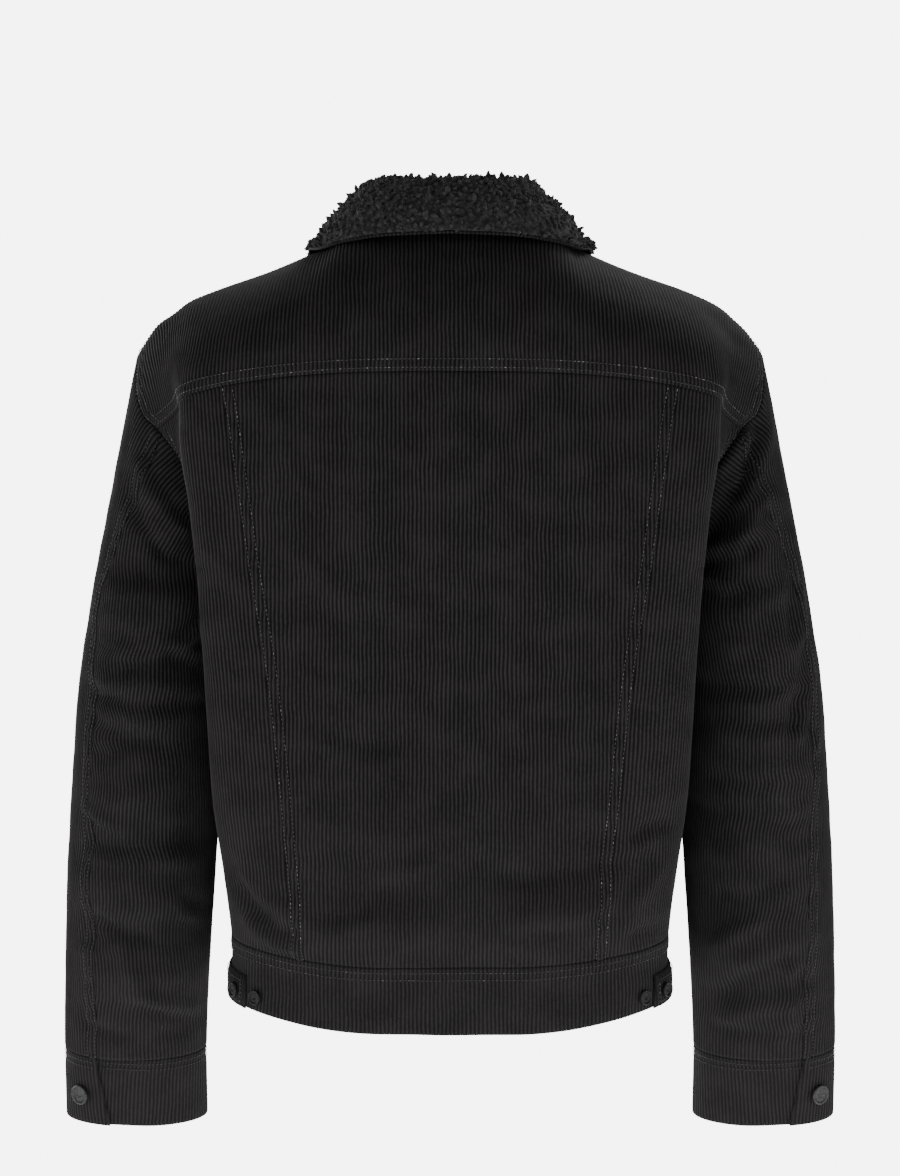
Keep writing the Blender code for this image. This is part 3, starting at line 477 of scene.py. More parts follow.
def sleeve_grid(hole, angles, cap_steps, arm_heights):
    """The left sleeve, from the cuff seam up to the armhole. Its first and last column are the same."""
    first, second = sleeve_ring(SLEEVE["z"][0], angles), sleeve_ring(SLEEVE["z"][0] - 0.02, angles)
    turn = np.radians(angles)[:, None]
    leave = np.hstack([0.55 - 0.35 * np.cos(turn), 0.3 * np.sin(turn), -0.7 - 0.25 * np.cos(turn)])
    reach = 0.36 * np.linalg.norm(first - hole, axis=1)[:, None]
    cap = [
        bezier(start, start + out * far, end - into * far, end, cap_steps)
        for start, out, far, end, into in zip(hole, leave, reach, first, unit(second - first))
    ]
    arm = [sleeve_ring(z, angles) for z in arm_heights]
    return np.vstack([np.stack(cap, axis=1), np.array(arm)])[::-1]


hole = np.vstack([side[len(low) - 1 :, -1], yoke[1:, -1], front[len(low) - 1 : -1, -1][::-1]])
spots = np.concatenate([
    hole_spot(np.concatenate([[ARMPIT], high])),
    (YOKE_SPOT + yoke_steps * (SHOULDER_SPOT - YOKE_SPOT))[1:],
    (SHOULDER_SPOT + (1 - front_steps[::-1]) * (SPOTS - SHOULDER_SPOT))[1:],
])
arm_heights = np.linspace(SLEEVE["z"][0], CUFF_SEAM + 0.007, ARM_ROWS)
arm_heights = np.concatenate([arm_heights, CUFF_SEAM + TURN_ROWS[::-1], [CUFF_SEAM]])
cap_steps = np.append([0, 0.012, 0.035], np.linspace(0.07, 0.96, CAP_ROWS))
sleeve = sleeve_grid(hole, armhole(spots)[:, 3], cap_steps, arm_heights)
back_column = len(high)
front_column = len(high) + len(yoke_steps) - 1 + np.searchsorted(1 - front_steps[::-1], 1 - FRONT_SEAM - 1e-9)

grids = {
    "back_centre": np.hstack([mirrored(centre), centre[:, 1:]]),
    "yoke": np.hstack([mirrored(yoke), yoke[:, 1:]]),
    "hem_band": np.hstack([mirrored(half_band), half_band[:, 1:]]),
    "back_side_left": side,
    "front_left": front[:, ::-1],
    "sleeve_upper_left": sleeve[:, back_column : front_column + 1],
    "sleeve_under_left": np.hstack([sleeve[:, front_column:], sleeve[:, 1 : back_column + 1]]),
}
for name in ("back_side", "front", "sleeve_upper", "sleeve_under"):
    grids[f"{name}_right"] = mirrored(grids[f"{name}_left"])

# ---------------------------------------------------------------- folds and creases
# Worn cloth lies in folds where it hangs and bends: each is a soft ridge or a trough (negative) on
# the back (face 1) or front (-1), along a line that may bow sideways, by its half width and height.

FOLD_TURN, WRINKLE, WRINKLE_PITCH = 0.5, 0.0024, (26, 26, 60)


def fold_table(*rows):
    """A table in metres from rows in millimetres, which start with the face that each fold is on."""
    rows = [(face, *(size / 1000 for size in sizes)) for face, *sizes in rows]
    return table("face x z end_x end_z width height bow", *rows)


FOLDS = fold_table(
    (1, 240, -267, 214, -264, 15, -6.2, 0),
    (1, 262, -300, 205, -306, 18, 4.6, 0),
    (1, 290, -366, 260, -407, 18, -4.6, 0),
    (1, 272, -455, 224, -431, 18, 3.9, 0),
    (1, 280, -487, 208, -479, 16, -3.9, 0),
    (1, 292, -519, 224, -539, 18, 3.9, 0),
    (1, 280, -563, 208, -555, 16, -3.9, 0),
    (1, 280, -595, 216, -603, 16, 3.1, 0),
    (1, -216, -225, -238, -191, 14, -6.2, 0),
    (1, -212, -300, -256, -327, 18, 3.9, 0),
    (1, -208, -367, -268, -376, 16, -4.6, 0),
    (1, -216, -407, -280, -431, 18, 3.9, 0),
    (1, -244, -455, -264, -475, 16, -4.6, 0),
    (1, -200, -497, -244, -483, 16, 3.1, 0),
    (1, -224, -583, -280, -559, 18, 4.6, 0),
    (1, -216, -621, -272, -603, 15, -3.9, 0),
    (1, 122, -546, 8, -537, 18, 3.9, 0),
    (1, 92, -512, 46, -508, 18, -4.6, 0),
    (1, -38, -492, -115, -479, 20, -3.9, 0),
    (1, -53, -537, -115, -528, 18, 3.9, 0),
    (1, 77, -466, 15, -460, 22, 3.1, 0),
    (1, -134, -480, -165, -460, 18, -3.9, 0),
    (1, 167, -500, 152, -528, 16, -3.9, 0),
    (-1, 250, -395, 205, -405, 18, -4.6, 0),
    (-1, 270, -430, 215, -450, 18, 3.9, 0),
    (-1, 260, -500, 205, -485, 18, -3.9, 0),
    (-1, -245, -385, -205, -400, 18, -4.6, 0),
    (-1, -275, -440, -220, -430, 18, 3.9, 0),
    (-1, -265, -490, -205, -505, 18, -3.9, 0),
    (-1, 130, -505, 70, -495, 20, -3.9, 0),
    (-1, -125, -495, -60, -507, 20, -3.9, 0),
    (-1, 150, -300, 110, -330, 22, -3.1, 0),
    (-1, -155, -310, -105, -335, 22, -3.1, 0),
)
# The smaller creases, in the same columns.
CREASES = fold_table(
    # left sleeve, from the armhole down
    (1, 244, -185, 208, -235, 6, 3.9, 4),
    (1, 252, -205, 225, -250, 6, -3.6, 3),
    (1, 231, -250, 210, -256, 6, -3.9, 2),
    (1, 268, -283, 204, -284, 8, 3.4, 2),
    (1, 214, -316, 197, -300, 4.5, -3.9, 1),
    (1, 213, -324, 196, -313, 4.5, 3.4, 1),
    (1, 218, -334, 197, -325, 4.5, -3.4, 1),
    (1, 252, -343, 196, -346.6, 6, -4.4, -10),
    (1, 256, -330, 200, -334, 7, 2.9, -8),
    (1, 275, -356, 200, -363, 6, 3.1, -4),
    (1, 285, -365, 192, -375, 4.8, -4.7, 3),
    (1, 285, -385, 248, -399, 6, -3.4, 4),
    (1, 250, -387, 205, -380, 7, 2.9, 3),
    (1, 278, -415, 230, -402, 7, -2.9, -3),
    (1, 290, -457, 272, -471, 5, 2.9, 0),
    (1, 290, -465, 268, -479, 5, -3.1, 0),
    (1, 280, -488, 206, -488, 7, -3.1, 2),
    (1, 280, -497, 204, -498, 8, 3.6, 2),
    (1, 213, -531, 194, -542, 5, -3.9, 1),
    (1, 213, -547, 194, -556, 5, 3.6, 1),
    (1, 280, -552, 241.6, -565.4, 5, -3.9, 2),
    (1, 296, -577, 262, -570, 5.5, 2.9, 2),
    (1, 260, -581, 241.6, -617.6, 7, 3.6, 3),
    (1, 246.3, -623.1, 202, -641.3, 6, -3.6, 3),
    (1, 260, -611, 210, -627, 7, 2.9, 3),
    (1, 234, -649.2, 215, -649.2, 5, -3.1, 0),
    (1, 296, -642, 258, -650, 5, -3.1, 2),
    # right sleeve
    (1, -250, -150, -228.2, -212.3, 6, 5.2, -6),
    (1, -240, -156, -223, -205, 6, -5.2, -5),
    (1, -215, -195, -240, -166, 5, -3.9, 1),
    (1, -213, -186, -236, -159, 5, 3.6, 1),
    (1, -216, -208, -204, -240, 6, -4.4, 2),
    (1, -248, -208, -224, -252, 5.5, 3.6, 3),
    (1, -204.6, -246.3, -236.1, -233.6, 7, 4.4, 2),
    (1, -206, -260, -236, -248, 6, -4.2, 2),
    (1, -203, -271, -220, -276, 5, 3.4, 1),
    (1, -203, -283, -222, -289, 5, -3.4, 1),
    (1, -233.7, -293.7, -259.7, -283.4, 8, 3.6, 2),
    (1, -270, -238.4, -275.5, -323, 5, 5.2, -3),
    (1, -264, -245, -269, -315, 5, -3.9, -3),
    (1, -285.7, -328, -275.5, -397, 5, 5.2, -4),
    (1, -279, -330, -270, -390, 5, -3.4, -4),
    (1, -292, -370, -289, -410, 4.5, 4.4, -2),
    (1, -194, -355, -256, -358, 7, -3.9, 3),
    (1, -194, -370.3, -256, -369, 9, 3.6, 3),
    (1, -214, -390, -262, -395, 7, 2.3, 3),
    (1, -210, -430, -246, -438, 7, -2.9, 2),
    (1, -184, -449, -212.5, -462.7, 7, -3.4, 2),
    (1, -256, -464, -282, -456, 6, 2.9, 3),
    (1, -218, -528, -264, -518, 7, -2.9, 3),
    (1, -244, -549.6, -218, -570.2, 8, 4.7, 2),
    (1, -267.6, -586, -222.7, -615.2, 8, -4.7, 3),
    (1, -275.5, -589.1, -276, -638.9, 5, 3.9, 2),
    (1, -270, -620.7, -218, -638.9, 8, 4.4, 3),
    (1, -214, -642, -260, -650, 5, -3.1, 2),
    # body
    (1, 106, -378, 42, -396, 8, -3.4, 6),
    (1, 104, -294, 46, -302, 10, -2.3, 3),
    (1, 130, -145, 106, -205, 6, 2.3, 6),
    (1, 58, -495, 20, -488, 7, 2.9, 3),
    (1, 102, -530, 64, -524, 6, -2.9, 3),
    (1, -42, -498, -118, -490, 7, -3.4, 4),
    (1, -44, -545, -116, -533, 6, -2.9, 3),
    (1, 168.3, -523.5, 120.1, -554.1, 5.5, 4.2, 8),
    (1, 164, -512, 120.1, -544, 5.5, -3.9, 7),
    (1, 163, -498, 130, -525, 7, 2.3, 4),
    (1, -168.3, -462.2, -145.4, -469, 6, -3.4, 2),
    (1, -125, -480, -162, -468, 7, 2.9, 3),
    (1, -166, -492.9, -138, -534.2, 8, 3.4, 3),
    (1, -156, -490, -128, -530, 8, -3.1, 3),
    (1, -165, -542, -143, -552, 6, -3.6, 2),
    # front of the sleeves and of the body
    (-1, 245, -380, 210, -388, 7, 3.4, 3),
    (-1, 260, -415, 215, -422, 6, -3.4, 3),
    (-1, 260, -470, 215, -460, 7, 3.1, -3),
    (-1, 275, -610, 230, -618, 7, -3.1, 3),
    (-1, -245, -372, -210, -380, 7, 3.4, 3),
    (-1, -260, -415, -215, -425, 6, -3.4, 3),
    (-1, -265, -475, -220, -465, 7, 3.1, -3),
    (-1, -275, -618, -230, -610, 7, -3.1, 3),
    (-1, 125, -530, 60, -522, 8, 2.9, 3),
    (-1, -125, -520, -60, -532, 8, 2.9, 3),
)


def normals_of(grids):
    """Unit normals at the grids' points, shared where two grids have the same point."""
    total, keyed = {}, {}
    for name, grid in grids.items():
        cells = np.cross(grid[1:, 1:] - grid[:-1, :-1], grid[:-1, 1:] - grid[1:, :-1])
        sums = np.zeros_like(grid)
        for row, column in ((0, 0), (0, 1), (1, 0), (1, 1)):
            sums[row : row + cells.shape[0], column : column + cells.shape[1]] += cells
        keyed[name] = list(map(tuple, np.round(grid, 6).reshape(-1, 3) + 0.0))
        for key, normal in zip(keyed[name], sums.reshape(-1, 3)):
            total[key] = total.get(key, 0) + normal
    sums = {name: np.array([total[key] for key in keyed[name]]) for name in grids}
    return {name: unit(sums[name]).reshape(grids[name].shape) for name in grids}


def fold_lift(place, normals, folds):
    """How far the folds raise the cloth at each point of a grid."""
    lift = np.zeros(place.shape[:2])
    flat = place[..., ::2]
    for face, x, z, end_x, end_z, width, height, bow in np.stack(list(folds.values()), axis=1):
        start, run = np.array([x, z]), np.array([end_x - x, end_z - z])
        share = np.clip((flat - start) @ run / (run @ run), 0, 1)
        square = np.array([-run[1], run[0]]) / np.linalg.norm(run)
        line = start + share[..., None] * run + (4 * bow * share * (1 - share))[..., None] * square
        away = np.linalg.norm(flat - line, axis=-1)
        lift += height * np.exp(-((away / width) ** 2)) * smooth(face * normals[..., 1] / FOLD_TURN)
    return lift


def noise_at(points, *scales):
    """Smooth noise at a grid of points, summed over pairs of a scale and its share."""
    return np.array([
        [sum(share * noise.noise(Vector(point) * scale) for scale, share in scales) for point in row]
        for row in points.tolist()
    ])


def turned(normal):
    """0 where the cloth faces front or back, rising to 1 where it turns away to a side."""
    return smooth((np.abs(normal[..., 0]) - 0.62) / 0.3)


def wrinkle_lift(place):
    """Small wrinkles across the cloth, more on the sleeves and low on the body, and none at the cuffs."""
    sleeves = smooth((np.abs(place[..., 0]) - 0.185) / 0.03)
    busy = 0.12 + 0.88 * np.maximum(sleeves, 0.6 * smooth((-0.40 - place[..., 2]) / 0.12))
    busy *= 1 - sleeves * (1 - smooth((place[..., 2] - CUFF_SEAM - 0.004) / 0.03))
    return WRINKLE * busy * noise_at(place * WRINKLE_PITCH, (1, 1))


CREASE_FADE, WRINKLE_FADE = 0.55, 0.85  # how much of them is gone where the cloth has turned away
normals = normals_of(grids)
for name, grid in grids.items():
    away, out = turned(normals[name]), normals[name]
    small = (1 - CREASE_FADE * away) * fold_lift(grid, out, CREASES)
    small += (1 - WRINKLE_FADE * away) * wrinkle_lift(grid)
    grids[name] = grid + out * (fold_lift(grid, out, FOLDS) + small)[..., None]
normals = normals_of(grids)

# ---------------------------------------------------------------- corduroy
# Eight wales to the inch of cut pile: each wale is a rounded ridge 3.2 mm wide along the cloth. It is
# woven here into every cut piece as real relief, which sinks at the seams and under the stitches.

WALE, WALE_POINTS, RIDGE, RELIEF = 0.003175, 4, (-0.5, 0.16, 0.5, 0.16), 0.00095
DRIFT = 0.0008  # how far the wales wander
PUCKER = 0.011  # how far apart the puckers between two stitch rows lie
ROW_WIDTH, ROW_DEPTH, ROW_PRESS = 0.0013, 0.0007, 0.6  # a stitch row's dent, and what it flattens
EDGE_FADE, RAISED_SLOPE, PUCKER_SLOPE = 0.003, 0.0025, 0.0016
TURN, LINING_STEP = 0.0011, 6
BODY_WALL, CUFF_WALL, STRIP_WALL, UNDER_COLLAR_WALL, SEAM_GAP = 0.0042, 0.0030, 0.0030, 0.0020, 0.0003


def effect(name, takes, gives):
    """A shading effect that materials share: its node group, what it is given and what comes out."""
    group = bpy.data.node_groups.new(name, "ShaderNodeTree")
    for way, sockets in (("INPUT", takes), ("OUTPUT", gives)):
        for socket, kind in sockets.items():
            group.interface.new_socket(name=socket, in_out=way, socket_type=f"NodeSocket{kind}")
    return group, group.nodes.new("NodeGroupInput").outputs, group.nodes.new("NodeGroupOutput").inputs


def with_effect(tree, group, **given):
    """Puts a shared effect in a material, and returns what comes out of it."""
    made = tree.nodes.new("ShaderNodeGroup")
    made.node_tree = group
    wire(tree, made.inputs, **given)
    return made.outputs


def worked(tree, operation, *values):
    """One step of arithmetic in a shader."""
    step = tree.nodes.new("ShaderNodeMath")
    step.operation = operation
    for socket, value in zip(step.inputs, values):
        put(tree, socket, value)
    return step.outputs[0]


def mixed(tree, factor, low, high):
    """A colour between two others."""
    mix = tree.nodes.new("ShaderNodeMix")
    mix.data_type = "RGBA"
    wire(tree, mix.inputs, Factor=factor, A=low, B=high)
    return mix.outputs["Result"]


def bumped(tree, height, distance, **given):
    return node(tree, "Bump", Height=height, Distance=distance, **given).outputs["Normal"]


def cut_pile_effect():
    """Cut pile: painted highlight on the tops, painted shade in the valleys, and tufts that catch the light
    unevenly.
    """
    takes = {"Wale": "Float", "Run": "Float", "Valley": "Color", "Top": "Color", "Wear": "Float"}
    gives = {"Colour": "Color", "Roughness": "Float", "Height": "Float"}
    group, given, result = effect("cut_pile", takes, gives)

    def step(*work):
        return worked(group, *work)

    def tufts(across, up):
        x, y = step("MULTIPLY", given["Wale"], across), step("MULTIPLY", given["Run"], up)
        place = node(group, "CombineXYZ", X=x, Y=y).outputs[0]
        return node(group, "TexNoise", Vector=place, Scale=1, Detail=3).outputs["Fac"]

    wave = step("COSINE", step("MULTIPLY", given["Wale"], math.tau))
    ridge = step("POWER", step("MULTIPLY_ADD", wave, -0.5, 0.5), 1.4)
    fine, broad = tufts(1, 420), tufts(0.1, 42)
    lit = step("MULTIPLY", ridge, step("MULTIPLY_ADD", fine, 1.3, 0.32))
    lit = step("ADD", lit, step("MULTIPLY", step("SUBTRACT", broad, 0.5), given["Wear"]))
    # The colour runs from the valleys' painted shade to the tops' painted highlight.
    colour = mixed(group, lit, given["Valley"], given["Top"])
    roughness, height = step("MULTIPLY_ADD", fine, -0.2, 0.95), step("MULTIPLY", ridge, fine)
    wire(group, result, Colour=colour, Roughness=roughness, Height=height)
    return group


def curled_pile_effect():
    """Curled pile: paler tips, and painted shade in the gaps between the curls."""
    takes = {"Scale": "Float", "Gap": "Color", "Tip": "Color"}
    group, given, result = effect("curled_pile", takes, {"Colour": "Color", "Height": "Float"})
    curls = {"Vector": node(group, "TexCoord").outputs["Object"], "Scale": given["Scale"]}
    cloud = node(group, "TexNoise", Detail=4, **curls).outputs["Fac"]
    height = worked(group, "SUBTRACT", cloud, node(group, "TexVoronoi", **curls).outputs["Distance"])
    shade = node(group, "MapRange", Value=height, From_Min=-0.25, From_Max=0.45).outputs["Result"]
    # The gaps between the curls are given painted shade.
    wire(group, result, Colour=mixed(group, shade, given["Gap"], given["Tip"]), Height=height)
    return group


cut_pile, curled_pile = cut_pile_effect(), curled_pile_effect()


def corduroy(name, valley, low_valley_shade, top, wear):
    """The cloth's material. The painted shade in its valleys is paler down towards the cuffs and the band."""
    sheen = {"Sheen_Weight": 0.028, "Sheen_Roughness": 0.4, "Sheen_Tint": (0.75, 0.73, 0.75, 1)}
    made, tree, sockets = plain(name, top, 0.9, Specular_IOR_Level=0.08, **sheen)
    height = node(tree, "SeparateXYZ", Vector=node(tree, "TexCoord").outputs["Object"]).outputs["Z"]
    low = node(tree, "MapRange", Value=height, From_Min=-0.35, From_Max=-0.68).outputs[0]
    # The valleys' painted shade is paler low on the jacket.
    layers = {"Valley": mixed(tree, low, (*valley, 1), (*low_valley_shade, 1))}
    for socket, layer in (("Wale", "wale"), ("Run", "run")):
        read = node(tree, "Attribute")
        read.attribute_name = layer
        layers[socket] = read.outputs["Fac"]
    pile = with_effect(tree, cut_pile, Top=(*top, 1), Wear=wear, **layers)
    normal = bumped(tree, pile["Height"], 0.0004, Strength=0.6)
    wire(tree, sockets, Base_Color=pile["Colour"], Roughness=pile["Roughness"], Normal=normal)
    return made


def fleece(name, gap, tip, scale, depth):
    """Sherpa and lining, by the colours of the gaps' painted shade and of the tips, and the size of the
    curls.
    """
    made, tree, sockets = plain(
        name, tip, 0.95, Sheen_Weight=0.04, Sheen_Roughness=0.5, Specular_IOR_Level=0.15
    )
    pile = with_effect(tree, curled_pile, Scale=scale, Gap=(*gap, 1), Tip=(*tip, 1))
    wire(tree, sockets, Base_Color=pile["Colour"], Normal=bumped(tree, pile["Height"], depth))
    return made


# Colours: painted shade in the valleys, high and then low on the jacket, and painted highlight on the tops.
black_corduroy = corduroy(
    "black_corduroy", (0.0011, 0.0009, 0.0010), (0.0042, 0.0038, 0.0040), (0.0125, 0.0114, 0.0120), 0.85
)
# The gap colour is painted shade between the curls.
lining = fleece("sherpa_lining", (0.003, 0.003, 0.003), (0.016, 0.0157, 0.016), 260, 0.002)


def wale_places(grid, zero, plumb):
    """The wale that runs through each point of a grid, counted from the zero column.

    Wales run up the rows, or where plumb is true, straight up and down the body whatever the cut.
    """
    run = np.gradient(grid, axis=0)
    if plumb:
        run[..., 0] = 0
    run = unit(run)
    step = np.diff(grid, axis=1)
    across = np.linalg.norm(np.cross(step, unit(run[:, 1:] + run[:, :-1])), axis=-1)
    across = np.maximum(across, 0.2 * np.linalg.norm(step, axis=-1))
    place = np.concatenate([np.zeros((len(grid), 1)), np.cumsum(across, axis=1)], axis=1)
    return place - place[:, [zero]]


def patches(ids):
    """A grid's faces, from its corners' numbers."""
    return np.stack([ids[:-1, :-1], ids[1:, :-1], ids[1:, 1:], ids[:-1, 1:]], axis=-1).reshape(-1, 4).tolist()


def whole(rings):
    """The rings without repeated corners, where three are left."""
    rings = (list(dict.fromkeys(int(corner) for corner in ring)) for ring in rings)
    return [ring for ring in rings if len(ring) > 2]


def shaped(name, points, faces, *materials):
    """A smooth mesh piece."""
    mesh = bpy.data.meshes.new(name)
    mesh.from_pydata(points, [], faces)
    for material in materials:
        mesh.materials.append(material)
    mesh.shade_smooth()
    return linked(name, mesh)


def relief_lift(at, climbed, gone, marks, rows, relief, turn, raised, puckers):
    """How far the cloth's face rises at each point over the surface that it was cut on."""
    edge = np.minimum.reduce(list(gone.values()))
    press, sink = np.ones_like(edge), np.zeros_like(edge)
    for border, distance, *_ in rows:
        near = np.exp(-(((gone[border] - distance) / ROW_WIDTH) ** 2))
        press = np.minimum(press, 1 - ROW_PRESS * near)
        sink = np.maximum(sink, ROW_DEPTH * near)
    ridge = np.array(RIDGE)[marks % WALE_POINTS][None, :] * relief
    lift = ridge * press * (0.4 + 0.6 * smooth(edge / EDGE_FADE)) - sink
    lift -= turn * (1 - np.sqrt(1 - np.clip(1 - edge / turn, 0, 1) ** 2))
    for border, width, height in raised:
        lift += height * smooth((width - gone[border]) / RAISED_SLOPE)
    for border, near, far, height in puckers:
        run = climbed if border in ("left", "right") else at
        uneven = 1.9 * np.sin(97 * run + 1) + 1.3 * np.sin(213 * run)
        strip = smooth((gone[border] - near) / PUCKER_SLOPE) * smooth((far - gone[border]) / PUCKER_SLOPE)
        lift += height * strip * np.sin(math.tau * run / PUCKER + uneven)
    return lift, edge


def woven(
    cad_node, grid, out, rows=(), wall=BODY_WALL, lined=None, relief=RELIEF, turn=TURN,
    zero=None, plumb=False, lean=0, raised=(), puckers=(),
):
    """A cut piece of corduroy: ribbed outside, turned in all round, and lined. It stands for a CAD node.

    rows are the stitch rows that press it down: (border, distance, ...). raised are borders where it
    lies on a seam allowance: (border, width, height). puckers are the strips between two rows that
    the thread gathers: (border, near, far, height). The wales are counted from the column zero, or
    from the middle one, and lean shifts them, row by row.
    """
    place = wale_places(grid, grid.shape[1] // 2 if zero is None else zero, plumb) + lean
    place = place + DRIFT * noise_at(grid, (40, 1), (110, 0.5))
    left, right = place[:, [0]], place[:, [-1]]
    pitch = WALE / WALE_POINTS
    marks = np.arange(math.floor(left.min() / pitch), math.ceil(right.max() / pitch) + 1)
    at = np.clip(marks * pitch, left, right)
    points, normal = (np.array([at_length(*row) for row in zip(each, place, at)]) for each in (grid, out))
    normal = unit(normal)
    up = np.linalg.norm(np.diff(points, axis=0), axis=-1)
    climbed = np.concatenate([np.zeros((1, len(marks))), np.cumsum(up, axis=0)])
    gone = {"left": at - left, "right": right - at, "bottom": climbed, "top": climbed[-1] - climbed}
    lift, edge = relief_lift(at, climbed, gone, marks, rows, relief, turn, raised, puckers)
    outer = points + normal * lift[..., None]
    inside = np.unique(np.append(np.arange(0, len(marks), LINING_STEP), len(marks) - 1))
    behind = points[:, inside] - normal[:, inside] * wall
    if lined is not None:
        swell = (0.0008 + 0.0016 * noise_at(behind, (190, 1))) * smooth(edge[:, inside] / 0.012)
        behind -= normal[:, inside] * swell[..., None]

    # Where the wales run out at a slanted edge, their points fall together in one.
    columns = np.arange(len(marks))
    starts = (at <= left + 1e-9).sum(axis=1)[:, None] - 1
    ends = len(marks) - (at >= right - 1e-9).sum(axis=1)[:, None]
    cells = np.arange(len(grid))[:, None] * len(marks) + np.clip(columns, starts, ends)
    used, ids = np.unique(cells, return_inverse=True)
    ids = ids.reshape(cells.shape)
    _, used_inside, inner = np.unique(ids[:, inside], return_index=True, return_inverse=True)
    inner = len(used) + inner.reshape(behind.shape[:2])

    rim = []
    for row in range(len(grid) - 1):
        rim.append([ids[row + 1, 0], ids[row, 0], inner[row, 0], inner[row + 1, 0]])
        rim.append([ids[row, -1], ids[row + 1, -1], inner[row + 1, -1], inner[row, -1]])
    for j, (start, end) in enumerate(zip(inside, inside[1:])):
        rim.append([*ids[0, start : end + 1], inner[0, j + 1], inner[0, j]])
        rim.append([*ids[-1, start : end + 1][::-1], inner[-1, j], inner[-1, j + 1]])
    faces = whole(patches(ids)) + whole(rim)
    lining_faces = [ring[::-1] for ring in whole(patches(inner))]
    corners = np.vstack([outer.reshape(-1, 3)[used], behind.reshape(-1, 3)[used_inside]]).tolist()
    name = f"{cad_node}_shell"
    piece = shaped(name, corners, faces + lining_faces, black_corduroy, lined or black_corduroy)
    kind = np.repeat([0, 1], [len(faces), len(lining_faces)])
    piece.data.polygons.foreach_set("material_index", kind)
    for layer, values in (("wale", at / WALE), ("run", climbed)):
        values = np.concatenate([values.ravel()[used], values[:, inside].ravel()[used_inside]])
        layer = piece.data.attributes.new(layer, "FLOAT", "POINT")
        layer.data.foreach_set("value", values.astype(np.float32))
    piece.data.update()
    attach(piece, "root")
    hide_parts(cad_node)


# ---------------------------------------------------------------- top-stitching
# Polyester thread in short lock stitches, two rows along each felled seam, pulled down into the pile.
# Most of it is as dull as the cloth, and only single stitches catch the light.

STITCH, STITCH_LENGTH, THREAD, STITCH_ARCH = 0.0034, 0.0022, 0.00032, (-0.0003, 0.0002, -0.0003)
LAP, FELL, UNDER_FELL = 0.0050, (0.0100, 0.0007), (0.0070, -0.0010)
FELL_ROWS, EDGE_ROWS = (0.0014, 0.0088), (0.0020, 0.0085)


def speckled(tree, sockets, dark, bright, share, wide, scale, detail=2):
    """Gives a material bright specks on dark: share is how much of it stays dark."""
    place = node(tree, "TexCoord").outputs["Object"]
    specks = node(tree, "TexNoise", Vector=place, Scale=scale, Detail=detail).outputs["Fac"]
    ramp = node(tree, "ValToRGB", Fac=specks)
    for stop, position, colour in zip(ramp.color_ramp.elements, (share, share + wide), (dark, bright)):
        stop.position, stop.color = position, (*colour, 1)
    wire(tree, sockets, Base_Color=ramp.outputs["Color"], Normal=bumped(tree, specks, 0.0001))
    return specks


def thread(name, dull, bright, share):
    """Thread that only here and there catches the light."""
    made, tree, sockets = plain(name, bright, 0.5)
    speckled(tree, sockets, dull, bright, share, 0.12, 260)
    return made


grey_thread = thread("grey_thread", (0.008, 0.0075, 0.008), (0.11, 0.109, 0.112), 0.56)
black_thread = thread("black_thread", (0.007, 0.0066, 0.007), (0.060, 0.059, 0.061), 0.56)
dull_thread = thread("dull_thread", (0.006, 0.0057, 0.006), (0.016, 0.0155, 0.016), 0.58)


def border_lines(grid, border):
    """The grid's lines that run in from a border, each from the border on."""
    turned = grid.transpose(1, 0, 2)
    return {"left": grid, "right": grid[:, ::-1], "bottom": turned, "top": turned[:, ::-1]}[border]


def tube(first, rings, sides):
    """The faces of a closed tube, whose rings of corners are numbered on from the first."""
    faces = []
    for ring in range(rings - 1):
        start, after = first + ring * sides, first + (ring + 1) * sides
        for a in range(sides):
            b = (a + 1) % sides
            faces.append([start + a, start + b, after + b, after + a])
    last = first + (rings - 1) * sides
    return [*faces, list(range(first, first + sides))[::-1], list(range(last, last + sides))]


def along_borders(borders, distances, start, end, rise):
    """Stitch rows as (border, distance, start, end, rise), so far from each of the borders."""
    return [(border, distance, start, end, rise) for border in borders for distance in distances]


def stitched(name, grid, out, rows, thread=black_thread):
    """One object of all the stitches in these rows. They stop short of a row's start and end."""
    verts, faces = [], []
    for border, distance, start, end, rise in rows:
        lines, outs = border_lines(grid, border), border_lines(out, border)
        path = np.array([at_length(line, lengths(line), [distance])[0] for line in lines])
        turns = unit(np.array([at_length(o, lengths(line), [distance])[0] for line, o in zip(lines, outs)]))
        run = lengths(path)
        for middle in np.arange(start + STITCH / 2, run[-1] - end - STITCH / 2, STITCH):
            spots = at_length(path, run, [middle - STITCH_LENGTH / 2, middle, middle + STITCH_LENGTH / 2])
            top = unit(at_length(turns, run, [middle]))[0]
            across = np.cross(top, unit(spots[2] - spots[0]))
            faces += tube(len(verts), 3, 4)
            for spot, arch, thick in zip(spots, STITCH_ARCH, (0.6, 1, 0.6)):
                for turn in math.tau * np.arange(4) / 4:
                    swell = across * math.cos(turn) + top * math.sin(turn)
                    verts.append(spot + top * (rise + arch) + swell * THREAD * thick)
    piece = shaped(name, np.array(verts).tolist(), faces, thread)
    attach(piece, "root")


def felled(grid, out, neighbour, neighbour_out, border):
    """The piece and its normals with its edge carried over a seam, onto the piece that it laps."""
    step = -1 if border == "left" else 1
    own, own_out, other, other_out = (each[:, ::step] for each in (grid, out, neighbour, neighbour_out))
    places = np.linspace(0, LAP, 4)[1:]
    extra = np.array([at_length(line, lengths(line), places) for line in other])
    extra_out = np.array([at_length(o, lengths(line), places) for line, o in zip(other, other_out)])
    return np.hstack([own, extra])[:, ::step], np.hstack([own_out, unit(extra_out)])[:, ::step]


# ---------------------------------------------------------------- yoke
# One piece of corduroy over both shoulders, from the back seam to the shoulder seams in front. Its
# lower edge laps over the back and is stitched down twice.

